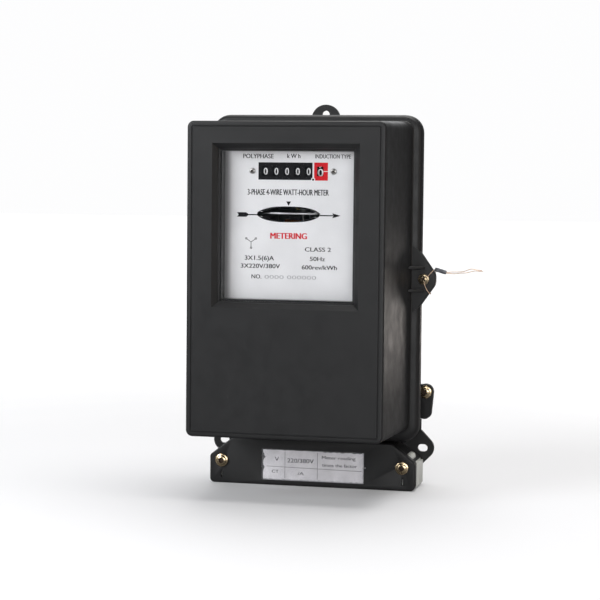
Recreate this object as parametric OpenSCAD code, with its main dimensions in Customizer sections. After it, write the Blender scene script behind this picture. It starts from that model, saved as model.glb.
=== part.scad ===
// Three-phase induction watt-hour meter, wall mounted.
// The wall is the plane y = 0, the front faces -Y, and z = 0 is the line of the two lower fixing slots.

/* [Housing] */
// Overall height, from the terminal end to the top of the hanger lug
overall_h = 285; // [283:0.5:288]
// Overall depth, from the wall to the front face
overall_d = 127; // [126.5:0.25:128]
// Width of the front face of the main cover
front_w = 141; // [140:0.5:142]
// Height of the front face of the main cover
front_h = 221.5; // [221:0.5:223]
// Width of the cover flange
flange_w = 161; // [160:0.5:162]
// Height of the cover flange
flange_h = 241; // [240:0.5:242]
// Wall thickness of the mouldings
wall = 2.5; // [2.2:0.1:2.8]

/* [Wall fixings] */
// Spacing of the two lower fixing slots
slot_pitch = 155; // [154:0.5:156]
// Height of the hanger hole above the lower slots
hanger_rise = 250; // [249:0.5:251]
// Diameter of the hanger hole
hanger_hole_d = 6; // [5:0.5:6.5]
// Width of a lower slot
slot_w = 5.6; // [5:0.2:6]
// End to end length of a lower slot
slot_l = 7.6; // [7:0.2:8]

/* [Window and dial] */
// Width of the window opening at the front face
window_w = 104.4; // [103:0.2:105]
// Height of the window opening at the front face
window_h = 114; // [113:0.5:115]
// Width of the sloping edge around the window
window_bevel = 4.6; // [4.4:0.1:4.8]
// Thickness of the glass
glass_t = 2; // [1.8:0.1:2]
// Distance from the front face back to the dial plate
dial_depth = 16; // [15.9:0.05:16.3]
// Thickness of the dial plate
dial_t = 0.8; // [0.6:0.1:0.8]

/* [Rotor] */
// Diameter of each aluminium disc
disc_d = 87; // [84:0.5:87]
// Thickness of each disc
disc_t = 1.2; // [1:0.1:1.3]
// Diameter of the rotor shaft
shaft_d = 3.2; // [3:0.1:3.2]

/* [Terminals] */
// Number of terminals
terminals = 10; // [8:1:10]
// Spacing of the terminals
terminal_pitch = 12.6; // [12.5:0.05:12.6]
// Diameter of the wire hole in each terminal
wire_hole_d = 4.8; // [4:0.1:5]

/* [Hidden] */
$fn = 64;

// Housing levels, all measured from the wall and from the lower slots
top_z = hanger_rise + 7.5;
foot_z = top_z - overall_h;
front_y = -overall_d;
front_top = 241.3;
front_bottom = front_top - front_h;
flange_top = 248.8;
flange_bottom = flange_top - flange_h;
flange_front = -36;
flange_back = -30.3;
flange_r = 13;
plate_t = 3;
tray_w = 146;
tray_r = 10;
tray_bottom = 10;
tray_top = 246;
rim_front = -29;
rim_back = -25;
skirt_w = 152;
draft = 2.5;

// Cover sealing lugs, one on each side
lug_x = 82.5;
lug_z = 129;
lug_tip = 91;
lug_half = 21;

// Window and dial levels
window_top = 225.7;
window_bottom = window_top - window_h;
ledge_y = front_y + 5;
glass_edge = 1.2;
dial_y = front_y + dial_depth;
dial_back = dial_y + dial_t;
digit_z = 206.8;
disc_z = 177;
lower_disc_z = 88;

// Rotor and register places
rotor_x = -1.3;
rotor_y = -66;
shaft_r = shaft_d / 2;
fit = 0.05;
wheel_r = 10;
wheel_w = 6.6;
wheel_step = 7.78;
tenths_x = 21.3;
units_x = 12.7;
number_y = dial_back + 0.7 + wheel_r;
carry_module = 0.8;
carry_teeth = 8;
ring_teeth = 20;
carry_reach = carry_module * (carry_teeth + ring_teeth) / 2;
carry_y = number_y + carry_reach * cos(45);
carry_z = digit_z + carry_reach * sin(45);
frame_left = -24.6;
frame_right = 33.5;
frame_t = 1.2;

// Reduction from the rotor to the tenths wheel: 60, then 2.5, then 4
worm_lead = 0.4 * PI;
worm_teeth = 60;
worm_axis_y = -81;
worm_axis_z = 191.5;
first_module = 0.65;
first_pinion = 12;
first_gear = 30;
last_module = 0.4;
last_pinion = 12;
last_gear = 48;
first_reach = first_module * (first_pinion + first_gear) / 2;
last_reach = last_module * (last_pinion + last_gear) / 2;
span_y = number_y - worm_axis_y;
span_z = digit_z - worm_axis_z;
span = norm([span_y, span_z]);
along = (span * span + first_reach * first_reach - last_reach * last_reach) / (2 * span);
aside = sqrt(first_reach * first_reach - along * along);
second_y = worm_axis_y + (span_y * along + span_z * aside) / span;
second_z = worm_axis_z + (span_z * along - span_y * aside) / span;

// Terminal end
block_w = 152;
block_top = 4.4;
block_back = -plate_t;
block_floor = -16;
block_front = -36;
cover_w = 156.6;
cover_top = 7;
shoulder_z = -6.6;
shoulder_x = 61;
terminal_front = -40;
terminal_cover_t = 2.6;
post_x = 68.9;
post_z = -10.4;
barrel_w = 9.4;
barrel_z = -23;
barrel_h = 20;
barrel_back = block_floor;
barrel_d = 11.5;
wire_y = barrel_back - 5.5;
card_x = 1;
card_z = -12;
card_w = 78.4;
card_h = 23.5;

// Side tabs
tab_x = 79.9;
tab_z = 43;
tab_drop = 15.2;

// Seal wire: two strands of the same wire, given as points from the screw head outwards
wire_d = 0.6;
seal_hole_angles = [53, 165];
upper_strand = [[84.1, -37.8, 130.2], [85.3, -37.8, 131.1], [86.5, -37.8, 132], [87.7, -37.9, 132.9],
    [89, -38, 133.8], [90.4, -38.1, 134.6], [92, -38.2, 134.9], [94, -38.2, 134.4], [96, -38.2, 133.8],
    [98, -38.2, 133.2], [99.6, -38.2, 132.9], [101.5, -38.1, 132.9], [103.5, -37.9, 133.1],
    [105.5, -37.8, 133.2], [107.5, -37.8, 133.2], [109.5, -38, 133.3], [111.5, -38.2, 133.6],
    [113.5, -38.4, 134.1], [115.5, -38.6, 134.9], [117.5, -38.7, 135.6], [119.5, -38.7, 135.5],
    [121.5, -38.6, 135.1], [123.5, -38.5, 134.9], [125.5, -38.4, 134.8]];
lower_strand = [[83, -37.8, 127.1], [83.4, -37.8, 125.6], [83.8, -37.8, 124.1], [84.4, -37.8, 122.7],
    [85.1, -37.7, 121.4], [85.9, -37.5, 120.2], [86.8, -37.1, 119.1], [87.8, -36.4, 118.3],
    [88.7, -35.3, 118], [89.3, -33.9, 118.1], [89.7, -32.4, 118.6], [90, -31, 119.4],
    [90.2, -29.9, 120.7], [90.4, -29.3, 122.4], [90.6, -29.1, 124.4], [90.8, -29.1, 126.4],
    [91, -29.1, 128.4], [91.3, -29.5, 130.2], [91.7, -30.5, 131.8], [91.9, -32, 133],
    [92, -33.7, 133.7], [92, -35.3, 134], [92.3, -36.6, 134], [93.2, -37.3, 133.8],
    [94.5, -37.4, 133.4], [96, -37.4, 133], [98, -37.4, 132.4], [99.6, -37.4, 132.1],
    [101.5, -37.3, 132], [104, -37.1, 131.8], [106.5, -37, 131.9], [109, -37, 132.3],
    [111.5, -37.1, 132.5], [114, -37.2, 132.7], [116.5, -37.3, 133.3], [119, -37.4, 134],
    [121.5, -37.5, 134.2], [124, -37.6, 134], [126.5, -37.7, 134.2]];
ferrule_start = [91.2, -37.8, 134.9];
ferrule_end = [99.4, -37.8, 132.6];

black = [0.13, 0.13, 0.135];
graphite = [0.18, 0.18, 0.19];
steel = [0.62, 0.63, 0.65];
brass = [0.76, 0.64, 0.34];
copper = [0.72, 0.42, 0.24];
silver = [0.8, 0.81, 0.83];
enamel = [0.87, 0.87, 0.88];
light_grey = [0.7, 0.71, 0.69];

// ---- shared shapes ----

// Extrudes an outline drawn in X and Z from y_back forward to y_front
module slab(y_back, y_front)
    translate([0, y_back, 0]) rotate([90, 0, 0]) linear_extrude(y_back - y_front) children();

// Extrudes an outline about the X axis from x0 to x1; outline x becomes -Z and outline y becomes Y
module along_x(x0, x1)
    translate([x0, 0, 0]) rotate([0, 90, 0]) linear_extrude(x1 - x0) children();

// Rounded rectangle in X and Z, centred in X
module panel(w, z0, z1, r) {
    translate([-w / 2, z0 + r]) square([w, z1 - z0 - 2 * r]);
    translate([-w / 2 + r, z0]) square([w - 2 * r, z1 - z0]);
    for (x = [-1, 1], z = [z0 + r, z1 - r]) translate([x * (w / 2 - r), z]) circle(r);
}

// Cylinder along -Y from y_back to y_front
module rod(x, z, r, y_back, y_front)
    translate([x, y_back, z]) rotate([90, 0, 0]) cylinder(r = r, h = y_back - y_front);

// Straight-sided gear outline with a tooth centred on the angle phase
module gear(teeth, pitch_r, tip_r, root_r, phase, tip_half, root_half) {
    circle(root_r);
    for (i = [0 : teeth - 1])
        rotate(phase + i * 360 / teeth)
            polygon([[root_r - 0.3, -root_half], [tip_r, -tip_half],
                [tip_r, tip_half], [root_r - 0.3, root_half]]);
}

// Gear of a given module, thinned so that a pair runs with backlash
module train_gear(teeth, m, phase)
    gear(teeth, m * teeth / 2, m * (teeth / 2 + 0.7), m * (teeth / 2 - 0.95), phase,
        0.22 * m, 0.72 * m);

// Pan head screw along -Y with a cross recess, its head resting on y_seat
module pan_screw(x, z, y_seat, head_r, head_h, shank_r, shank_l, turn = 0) {
    difference() {
        union() {
            rod(x, z, head_r, y_seat, y_seat - head_h * 0.55);
            translate([x, y_seat - head_h * 0.55, z]) rotate([90, 0, 0])
                cylinder(r1 = head_r, r2 = head_r * 0.62, h = head_h * 0.45);
        }
        for (a = [0, 90])
            translate([x, y_seat - head_h, z]) rotate([0, turn + a, 0])
                cube([head_r * 1.1, head_h, head_r * 0.26], center = true);
    }
    rod(x, z, shank_r, y_seat + shank_l, y_seat);
}

// Places children at the mirrored pair of positions
module both_sides() {
    children();
    mirror([1, 0, 0]) children();
}

// Corners of an eight-sided ring round one point of a wire route
function ring(points, i, r) =
    let (last = len(points) - 1,
        dir = points[min(i + 1, last)] - points[max(i - 1, 0)],
        t = dir / norm(dir),
        side = abs(t[1]) < 0.8 ? cross(t, [0, 1, 0]) : cross(t, [1, 0, 0]),
        u = side / norm(side),
        v = cross(t, u))
    [for (k = [0 : 7]) points[i] + r * (cos(45 * k) * u + sin(45 * k) * v)];

// Frames of consecutive rings are kept aligned by one shared side direction
module wire(points, r) {
    rings = len(points);
    corners = [for (i = [0 : rings - 1]) each ring(points, i, r)];
    sides = [for (i = [0 : rings - 2], k = [0 : 7])
        [8 * i + k, 8 * i + (k + 1) % 8, 8 * (i + 1) + (k + 1) % 8, 8 * (i + 1) + k]];
    start_cap = [[for (k = [7 : -1 : 0]) k]];
    end_cap = [[for (k = [0 : 7]) 8 * (rings - 1) + k]];
    polyhedron(corners, concat(start_cap, sides, end_cap));
}

// ---- base ----

module fixing_lug() {
    translate([slot_pitch / 2, 0]) circle(8.5);
    polygon([[66, 17.5], [72.5, 17.5], [83.51, 6.01], [83.51, -6.01], [72.5, -17.02], [66, -17.02]]);
}

module lower_slot()
    both_sides() slab(1, -plate_t - 1) {
        translate([slot_pitch / 2 - (slot_l - slot_w) / 2, -slot_w / 2]) square([slot_l - slot_w, slot_w]);
        for (s = [-1, 1]) translate([slot_pitch / 2 + s * (slot_l - slot_w) / 2, 0]) circle(slot_w / 2);
    }

module back_plate() color(black)
    difference() {
        union() {
            slab(0, -plate_t) {
                panel(tray_w, tray_bottom, tray_top, tray_r);
                translate([-skirt_w / 2, foot_z]) square([skirt_w, tray_bottom - foot_z + 12]);
                both_sides() fixing_lug();
                translate([0, top_z - 11]) circle(11);
                both_sides() translate([tab_x, tab_z]) circle(5.2);
                both_sides() translate([70, tab_z - 5.2]) square([tab_x - 70, 10.4]);
            }
            for (x = [-50, 50], z = [42, 232]) rod(x, z, 4.5, -plate_t + 0.5, -15);
        }
        lower_slot();
        rod(0, hanger_rise, hanger_hole_d / 2, 1, -plate_t - 1);
        for (x = [-50, 50], z = [42, 232]) rod(x, z, 2, -6, -16);
        both_sides() rod(tab_x, tab_z, 1.8 + fit, 1, -plate_t - 1);
    }

module case_wall() color(black)
    difference() {
        union() {
            slab(-plate_t, rim_front) difference() {
                panel(tray_w, tray_bottom, tray_top, tray_r);
                panel(tray_w - 2 * wall, tray_bottom + wall, tray_top - wall, tray_r - wall);
            }
            slab(rim_back, rim_front) difference() {
                panel(flange_w - 4, flange_bottom + 2, flange_top - 2, flange_r - 2);
                panel(tray_w - 2 * wall, tray_bottom + wall, tray_top - wall, tray_r - wall);
            }
            both_sides() rod(lug_x, lug_z, 5, rim_back + 5, rim_front);
            both_sides() slab(rim_back + 5, rim_front)
                translate([tray_w / 2 - 1, lug_z - 3]) square([lug_x - tray_w / 2, 6]);
        }
        both_sides() rod(lug_x, lug_z, 3, rim_back + 6, rim_front - 1);
    }

module base_inserts() color(brass)
    both_sides() difference() {
        rod(lug_x, lug_z, 2.97, rim_back + 5, rim_front);
        rod(lug_x, lug_z, 2 + fit, rim_back + 6, rim_front - 1);
    }

module cover_gasket() color(graphite)
    slab(rim_front, flange_back + 0.1) difference() {
        panel(tray_w + 1, tray_bottom - 0.5, tray_top + 0.5, tray_r + 0.5);
        panel(tray_w - 2 * wall, tray_bottom + wall, tray_top - wall, tray_r - wall);
    }

// ---- mechanism frame and magnets ----

module mechanism_frame() color(silver)
    difference() {
        union() {
            slab(-15, -18) difference() {
                panel(116, 34, 240, 4);
                translate([-30, 140]) square([60, 14]);
            }
            translate([rotor_x - 8, rotor_y - 6, 222]) cube([16, -17 - rotor_y + 6, 4]);
            translate([rotor_x - 8, rotor_y - 6, 46]) cube([16, -17 - rotor_y + 6, 4]);
            for (z = [215.5, 49.5]) translate([rotor_x - 8, -30, z]) cube([3, 13, 7]);
            translate([rotor_x - 50.9, -90, 58]) cube([2.9, 73, 136]);
            translate([rotor_x + 48, -90, 58]) cube([2.9, 73, 70]);
        }
        translate([rotor_x, rotor_y, 40]) cylinder(r = 3.5, h = 200);
        for (x = [-50, 50], z = [42, 232]) rod(x, z, 2.2, -14, -19);
    }

module frame_screws() color(steel)
    for (x = [-50, 50], z = [42, 232]) pan_screw(x, z, -18, 3.8, 2.6, 1.9, 10);

module top_bearing() color(brass)
    translate([rotor_x, rotor_y, 0]) difference() {
        union() {
            translate([0, 0, 220]) cylinder(r = 3.5, h = 6);
            translate([0, 0, 226]) cylinder(r = 5, h = 2);
        }
        translate([0, 0, 219]) cylinder(r = shaft_r + fit, h = 6);
    }

module bottom_bearing() color(brass)
    translate([rotor_x, rotor_y, 0]) difference() {
        union() {
            translate([0, 0, 46]) cylinder(r = 3.5, h = 6);
            translate([0, 0, 42]) cylinder(r = 5, h = 4);
        }
        translate([0, 0, 48]) cylinder(r = shaft_r + fit, h = 6);
    }

// Laminated core of a voltage magnet, drawn for the rear element: three limbs and a bar above
module voltage_core(base_z) color(steel)
    translate([rotor_x, 0, base_z]) difference() {
        translate([-23, -42, 0]) cube([46, 23.9, 36]);
        for (x = [-15, 5]) translate([x, -43, 6]) cube([10, 26, 22]);
    }

// Bobbin of a voltage magnet round the middle limb
module voltage_coil(base_z) color(copper)
    translate([rotor_x, 0, base_z + 6.5]) difference() {
        translate([-14, -46, 0]) cube([28, 27.5, 21]);
        translate([-5.2, -42.2, -1]) cube([10.4, 24.3, 23]);
    }

// U-shaped core of a current magnet under the disc
module current_core(top) color(steel)
    translate([rotor_x, 0, top - 24]) difference() {
        translate([-17, -41, 0]) cube([34, 22.9, 24]);
        translate([-7, -42, 8]) cube([14, 25, 17]);
    }

// The two heavy windings of a current magnet
module current_coils(top) color(copper)
    for (x = [-12, 12])
        translate([rotor_x + x, 0, top - 15.5]) difference() {
            translate([x > 0 ? -8.8 : -7.5, -44, 0]) cube([16.3, 25.6, 12]);
            translate([-5.2, -41.2, -1]) cube([10.4, 23.3, 14]);
        }

// Turns a rear element about the rotor axis
module turned(angle)
    translate([rotor_x, rotor_y, 0]) rotate([0, 0, angle]) translate([-rotor_x, -rotor_y, 0]) children();

// C-shaped brake magnet gripping a disc, reaching out along +Y from the rotor
module brake_magnet(z) color(graphite)
    translate([rotor_x, 0, z]) difference() {
        translate([-13, -44, -8.8]) cube([26, 25.9, 17.6]);
        translate([-14, -45, -2.2]) cube([28, 23, 4.4 + disc_t - 1.2]);
    }

// ---- rotor ----

module rotor_shaft() color(steel)
    translate([rotor_x, rotor_y, 48.4]) cylinder(r = shaft_r, h = 224 - 48.4);

module rotor_disc(z) color(silver)
    translate([rotor_x, rotor_y, z - disc_t / 2]) difference() {
        union() {
            cylinder(r = disc_d / 2, h = disc_t, $fn = 128);
            translate([0, 0, disc_t]) cylinder(r = 5, h = 3);
        }
        translate([0, 0, -1]) cylinder(r = shaft_r + 0.02, h = 6);
    }

module rotor_worm() color(brass)
    translate([rotor_x, rotor_y, worm_axis_z]) difference() {
        linear_extrude(height = 6 * worm_lead, twist = 6 * 360, slices = 36, center = true)
            translate([0, -0.35]) circle(2.75, $fn = 12);
        cylinder(r = shaft_r + 0.02, h = 12 * worm_lead, center = true);
    }

// ---- register ----

module register_frame() color(steel)
    difference() {
        union() {
            for (x = [frame_left, frame_right])
                translate([x, -107, 186]) cube([frame_t, 33, 40]);
            translate([frame_left, -75.2, 214]) cube([frame_right + frame_t - frame_left, frame_t, 12]);
            translate([rotor_x - 7, -75.2, 226.01]) cube([14, 17, frame_t]);
            translate([-31.5, dial_back, 201]) cube([7.5 + frame_t - 0.6, frame_t, 12]);
            translate([27.4, dial_back, 201]) cube([frame_right + frame_t - 27.4, frame_t, 12]);
            translate([frame_left, dial_back, 201]) cube([frame_t, 5, 12]);
            translate([frame_right, dial_back, 201]) cube([frame_t, 5, 12]);
            translate([rotor_x - 7, -75.2, 225]) cube([14, frame_t, 2.21]);
        }
        translate([rotor_x, rotor_y, 220]) cylinder(r = 5.3, h = 12);
        register_bore(number_y, digit_z, 1.2);
        register_bore(carry_y, carry_z, 0.75);
        register_bore(second_y, second_z, 1 + fit);
        register_bore(worm_axis_y, worm_axis_z, 1.2 + fit);
        for (x = [-27.6, 31]) rod(x, digit_z, 1.3, -105, -113);
    }

module register_bore(y, z, r)
    translate([frame_left - 1, y, z]) rotate([0, 90, 0])
        cylinder(r = r, h = frame_right - frame_left + frame_t + 2);

module number_axle() color(steel)
    translate([frame_left, number_y, digit_z]) rotate([0, 90, 0])
        cylinder(r = 1.2, h = frame_right - frame_left + frame_t);

module pinion_axle() color(steel)
    translate([frame_left, carry_y, carry_z]) rotate([0, 90, 0])
        cylinder(r = 0.75, h = frame_right - frame_left + frame_t);

module worm_wheel() color(brass)
    translate([0, worm_axis_y, worm_axis_z]) {
        along_x(rotor_x - 0.8, rotor_x + 0.8)
            gear(worm_teeth, 12, 12.2, 11.45, 90 + 180 / worm_teeth, 0.12, 0.3);
        along_x(rotor_x - 3, rotor_x + 3) circle(3);
        along_x(frame_left, frame_right + frame_t) circle(1.2);
        along_x(26.9, 28.9)
            train_gear(first_pinion, first_module, atan2(second_y - worm_axis_y, worm_axis_z - second_z));
    }

module second_gear() color(brass)
    translate([0, second_y, second_z]) {
        along_x(27.1, 28.7)
            train_gear(first_gear, first_module,
                180 + 180 / first_gear + atan2(second_y - worm_axis_y, worm_axis_z - second_z));
        along_x(24.8, 27.1)
            train_gear(last_pinion, last_module, atan2(number_y - second_y, second_z - digit_z));
        along_x(frame_left, frame_right + frame_t) circle(1);
    }

// Number wheel: drum on the left, ring gear on the right and a locking disc beside the next wheel
module number_wheel(x)
    translate([0, number_y, digit_z]) difference() {
        union() {
            along_x(x - wheel_w / 2, x + 1.6) circle(wheel_r);
            along_x(x + 1.6, x + wheel_w / 2) train_gear(ring_teeth, carry_module, carry_phase());
            along_x(x - wheel_w / 2 - 0.5, x - wheel_w / 2) circle(6.5);
        }
        along_x(x - wheel_w, x + wheel_w) circle(1.2 + fit);
    }

// Direction from the number axle to the carry pinions, in the outline plane of along_x
function carry_angle() = atan2(carry_y - number_y, digit_z - carry_z);
function carry_phase() = carry_angle() + 180 / ring_teeth;

module tenths_wheel() color("firebrick")
    translate([0, number_y, digit_z]) difference() {
        union() {
            along_x(tenths_x - wheel_w / 2, tenths_x + wheel_w / 2) circle(wheel_r - 0.3);
            along_x(tenths_x + wheel_w / 2, tenths_x + wheel_w / 2 + 2.2)
                train_gear(last_gear, last_module,
                    180 + 180 / last_gear + atan2(number_y - second_y, second_z - digit_z));
            along_x(tenths_x - wheel_w / 2 - 0.5, tenths_x - wheel_w / 2) circle(6.5);
        }
        along_x(tenths_x - wheel_w, tenths_x + wheel_w) circle(1.2 + fit);
    }

module carry_pinion(k) color(enamel)
    translate([0, carry_y, carry_z]) difference() {
        along_x(wheel_x(k) + 1.9, wheel_x(k) + 4.2)
            train_gear(carry_teeth, carry_module, 180 + carry_angle());
        along_x(wheel_x(k), wheel_x(k) + 6) circle(0.75 + fit);
    }

// Place of a number wheel, counted from the units wheel to the left
function wheel_x(k) = units_x - (k - 1) * wheel_step;

// ---- dial ----

module dial_plate() color(enamel)
    slab(dial_back, dial_y) difference() {
        translate([-51, window_bottom - 1]) square([102, window_h + 2]);
        for (x = [for (k = [1 : 5]) wheel_x(k), tenths_x])
            translate([x - 2.5, digit_z - 3.6]) square([5, 7.2]);
        disc_slot();
        for (x = [-27.6, 31]) translate([x, digit_z]) circle(1.3);
    }

// Lens-shaped opening with blunt ends that shows the edge of the disc
module disc_slot() {
    lens_r = 52.6;
    translate([rotor_x, disc_z - 0.5]) {
        intersection() {
            translate([0, lens_r - 5.25]) circle(lens_r, $fn = 128);
            translate([0, 5.25 - lens_r]) circle(lens_r, $fn = 128);
        }
        for (s = [-1, 1]) translate([s * 20.9, 0]) circle(1.9);
    }
}

module dial_screws() color(steel)
    for (x = [-27.6, 31]) pan_screw(x, digit_z, dial_y, 2.1, 1, 1.2, 4, 20);

// ---- main cover ----

module cover_block(inset, y_front, y_back)
    hull() {
        slab(y_front + 0.01, y_front)
            panel(front_w - 2 * inset, front_bottom + inset, front_top - inset, 4.5 - inset / 2, $fn = 32);
        slab(y_back, y_back - 0.01)
            panel(front_w + 2 * draft - 2 * inset, front_bottom - draft + inset,
                front_top + draft - inset, 7 - inset / 2, $fn = 32);
    }

module sealing_lug() {
    intersection() {
        polygon([[76, lug_z + lug_half + 3], [79, lug_z + lug_half], [93.8, lug_z], [79, lug_z - lug_half],
            [76, lug_z - lug_half - 3]]);
        translate([60, lug_z - 40]) square([lug_tip - 60, 80]);
    }
}

module lug_rib(z)
    translate([0, 0, z]) linear_extrude(1.3)
        polygon([[70.5, -46], [71, flange_front + 1], [83.5, flange_front + 1], [83.5, -37.5], [75, -44]]);

module main_cover() color(graphite)
    difference() {
        union() {
            difference() {
                cover_block(0, front_y, flange_front);
                cover_block(wall, front_y + 3, flange_front + 0.5);
            }
            slab(flange_back, flange_front) difference() {
                union() {
                    panel(flange_w, flange_bottom, flange_top, flange_r);
                    both_sides() sealing_lug();
                }
                panel(front_w, front_bottom, front_top, 5);
            }
            slab(rim_back - 0.5, flange_back) difference() {
                panel(flange_w, flange_bottom, flange_top, flange_r);
                panel(flange_w - 2.6, flange_bottom + 1.3, flange_top - 1.3, flange_r - 1.3);
                both_sides() translate([70, lug_z - 6]) square([20, 12]);
            }
            slab(dial_y - 1, front_y + 0.5) difference() {
                square_ring(glass_edge + 2.2);
                square_ring(glass_edge + 0.2);
            }
            slab(ledge_y, front_y + 0.5) square_ring(glass_edge + 2.2);
            both_sides() for (s = [-1, 1]) lug_rib(lug_z - 0.65 + s * 8.4);
        }
        window_cut();
        both_sides() rod(lug_x, lug_z, 2.3, flange_back + 1, flange_front - 1);
    }

// Window outline at the glass, grown by a margin
module square_ring(grow)
    translate([-window_w / 2 + window_bevel - grow, window_bottom + window_bevel - grow])
        square([window_w - 2 * window_bevel + 2 * grow, window_h - 2 * window_bevel + 2 * grow]);

// Sloping cut of the window, from the front face to the glass
module window_cut()
    hull() {
        slab(front_y - 0.01, front_y - 0.02)
            translate([-window_w / 2, window_bottom]) square([window_w, window_h]);
        slab(ledge_y + 0.02, ledge_y + 0.01) square_ring(0);
    }

module window_glass() color([0.8, 0.9, 0.95, 0.3])
    slab(ledge_y + glass_t, ledge_y) square_ring(glass_edge);

module window_frame() color(black)
    slab(dial_y - 1, ledge_y + glass_t) difference() {
        square_ring(glass_edge);
        square_ring(-0.4);
    }

module cover_screws() color(brass)
    both_sides() difference() {
        union() {
            rod(lug_x, lug_z, 4, flange_front, flange_front - 3);
            rod(lug_x, lug_z, 2, rim_back + 4, flange_front);
        }
        for (a = seal_hole_angles)
            translate([lug_x, flange_front - 1.8, lug_z]) rotate([0, a, 0]) cylinder(r = 0.5, h = 6);
        for (a = [25, 115])
            translate([lug_x, flange_front - 3, lug_z]) rotate([0, a, 0])
                cube([5.4, 1.8, 1], center = true);
    }

module seal_wire() color(copper) {
    wire(upper_strand, wire_d / 2);
    wire(lower_strand, wire_d / 2);
}

module seal_ferrule() color(graphite) {
    run = ferrule_end - ferrule_start;
    translate(ferrule_start) rotate([0, atan2(run[0], run[2]), 0])
        translate([-1.3, -1.3, 0]) cube([2.6, 2.6, norm(run)]);
}

// ---- terminal end ----

// Outline of the terminal end: square below, with sloping shoulders
module terminal_outline(w, z0, z1, slope_in) {
    polygon([[-w / 2, z0 + 3.5], [-w / 2, shoulder_z], [-shoulder_x + slope_in, z1], [shoulder_x - slope_in, z1],
        [w / 2, shoulder_z], [w / 2, z0 + 3.5]]);
    translate([-w / 2 + 3.5, z0]) square([w - 7, 5]);
    for (s = [-1, 1]) translate([s * (w / 2 - 3.5), z0 + 3.5]) circle(3.5);
}

function terminal_x(i) = (i - (terminals - 1) / 2) * terminal_pitch;

module terminal_block() color(light_grey)
    difference() {
        union() {
            slab(block_back, block_floor) terminal_outline(block_w, foot_z, block_top, 1.4);
            slab(block_floor, block_front) intersection() {
                terminal_outline(block_w, foot_z, block_top, 1.4);
                union() {
                    both_sides() translate([terminals * terminal_pitch / 2 - 0.9, foot_z])
                        square([20, 40]);
                    translate([-65, 0.5]) square([130, 3]);
                }
            }
            slab(block_floor, block_front + 2)
                for (i = [1 : terminals - 1])
                    translate([terminal_x(i) - terminal_pitch / 2 - 0.9, foot_z])
                        square([1.8, 1 - foot_z]);
        }
        both_sides() rod(post_x, post_z, 2 + fit, -20, block_front - 1);
        both_sides() translate([terminals * terminal_pitch / 2 + 1, -60, 3]) cube([20, 60 + block_floor, 10]);
    }

module terminal_barrels() color(brass)
    for (i = [0 : terminals - 1])
        difference() {
            translate([terminal_x(i) - barrel_w / 2, barrel_back - barrel_d, barrel_z])
                cube([barrel_w, barrel_d, barrel_h]);
            translate([terminal_x(i), wire_y, barrel_z - 1]) cylinder(r = wire_hole_d / 2, h = barrel_h - 0.5);
            for (z = [-18, -8]) rod(terminal_x(i), z, 1.9, wire_y, barrel_back - barrel_d - 1);
        }

module terminal_screws() color(steel)
    for (i = [0 : terminals - 1], z = [-18, -8])
        pan_screw(terminal_x(i), z, barrel_back - barrel_d, 3.4, 2.4, 1.85, 3.2, 15 * i);

module terminal_cover() color(graphite)
    difference() {
        union() {
            slab(terminal_front + terminal_cover_t, terminal_front)
                terminal_outline(cover_w, foot_z, cover_top, 0);
            slab(block_front + 4, terminal_front + terminal_cover_t) difference() {
                terminal_outline(cover_w, foot_z, cover_top, 0);
                terminal_outline(cover_w - 3.6, foot_z - 8, cover_top - 2, 0.8);
            }
        }
        slab(terminal_front + 1.6, terminal_front - 1)
            translate([card_x - card_w / 2, card_z - card_h / 2]) square([card_w, card_h]);
        both_sides() rod(post_x, post_z, 2.3, block_front + 2, terminal_front - 1);
        both_sides() slab(block_front + 2, terminal_front - 1)
            translate([post_x - 0.3, -23.2]) square([1.2, 4.6]);
    }

module rating_card() color(enamel)
    slab(terminal_front + 1.6, terminal_front + 1.2)
        translate([card_x - card_w / 2 + 0.6, card_z - card_h / 2 + 0.4]) square([card_w - 1.2, card_h - 0.8]);

module card_window() color([0.85, 0.88, 0.9, 0.35])
    slab(terminal_front + 1.2, terminal_front + 0.2)
        translate([card_x - card_w / 2 + 0.2, card_z - card_h / 2 + 0.2]) square([card_w - 0.4, card_h - 0.4]);

module terminal_cover_screws() color(brass)
    for (s = [-1, 1]) pan_screw(s * post_x, post_z, terminal_front, 5, 2.8, 2, 17, 20);

// ---- side tabs ----

module side_tab() color(black)
    slab(-plate_t - 0.3, -7.8) difference() {
        union() {
            translate([tab_x, tab_z]) circle(6);
            translate([tab_x - 0.7, tab_z - tab_drop]) circle(5.3);
            polygon([[tab_x - 5.99, tab_z], [tab_x - 5.98, tab_z - tab_drop], [tab_x + 4.58, tab_z - tab_drop],
                [tab_x + 5.99, tab_z]]);
        }
        translate([tab_x, tab_z]) circle(1.8 + fit);
    }

module side_tab_screws() color(brass)
    for (s = [-1, 1]) {
        pan_screw(s * tab_x, tab_z, -7.9, 4.9, 2.8, 1.8, 6, 30);
    }

back_plate();
case_wall();
base_inserts();
cover_gasket();
mechanism_frame();
frame_screws();
top_bearing();
bottom_bearing();
rotor_shaft();
rotor_worm();
rotor_disc(disc_z);  // upper_disc
rotor_disc(lower_disc_z);  // lower_disc
voltage_core(disc_z + 2.2);  // rear_voltage_core
turned(90) voltage_core(lower_disc_z + 2.2);  // left_voltage_core
turned(-90) voltage_core(lower_disc_z + 2.2);  // right_voltage_core
voltage_coil(disc_z + 2.2);  // rear_voltage_coil
turned(90) voltage_coil(lower_disc_z + 2.2);  // left_voltage_coil
turned(-90) voltage_coil(lower_disc_z + 2.2);  // right_voltage_coil
current_core(disc_z - 2.2);  // rear_current_core
turned(90) current_core(lower_disc_z - 2.2);  // left_current_core
turned(-90) current_core(lower_disc_z - 2.2);  // right_current_core
current_coils(disc_z - 2.2);  // rear_current_coils
turned(90) current_coils(lower_disc_z - 2.2);  // left_current_coils
turned(-90) current_coils(lower_disc_z - 2.2);  // right_current_coils
turned(90) brake_magnet(disc_z);  // upper_brake_magnet
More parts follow.
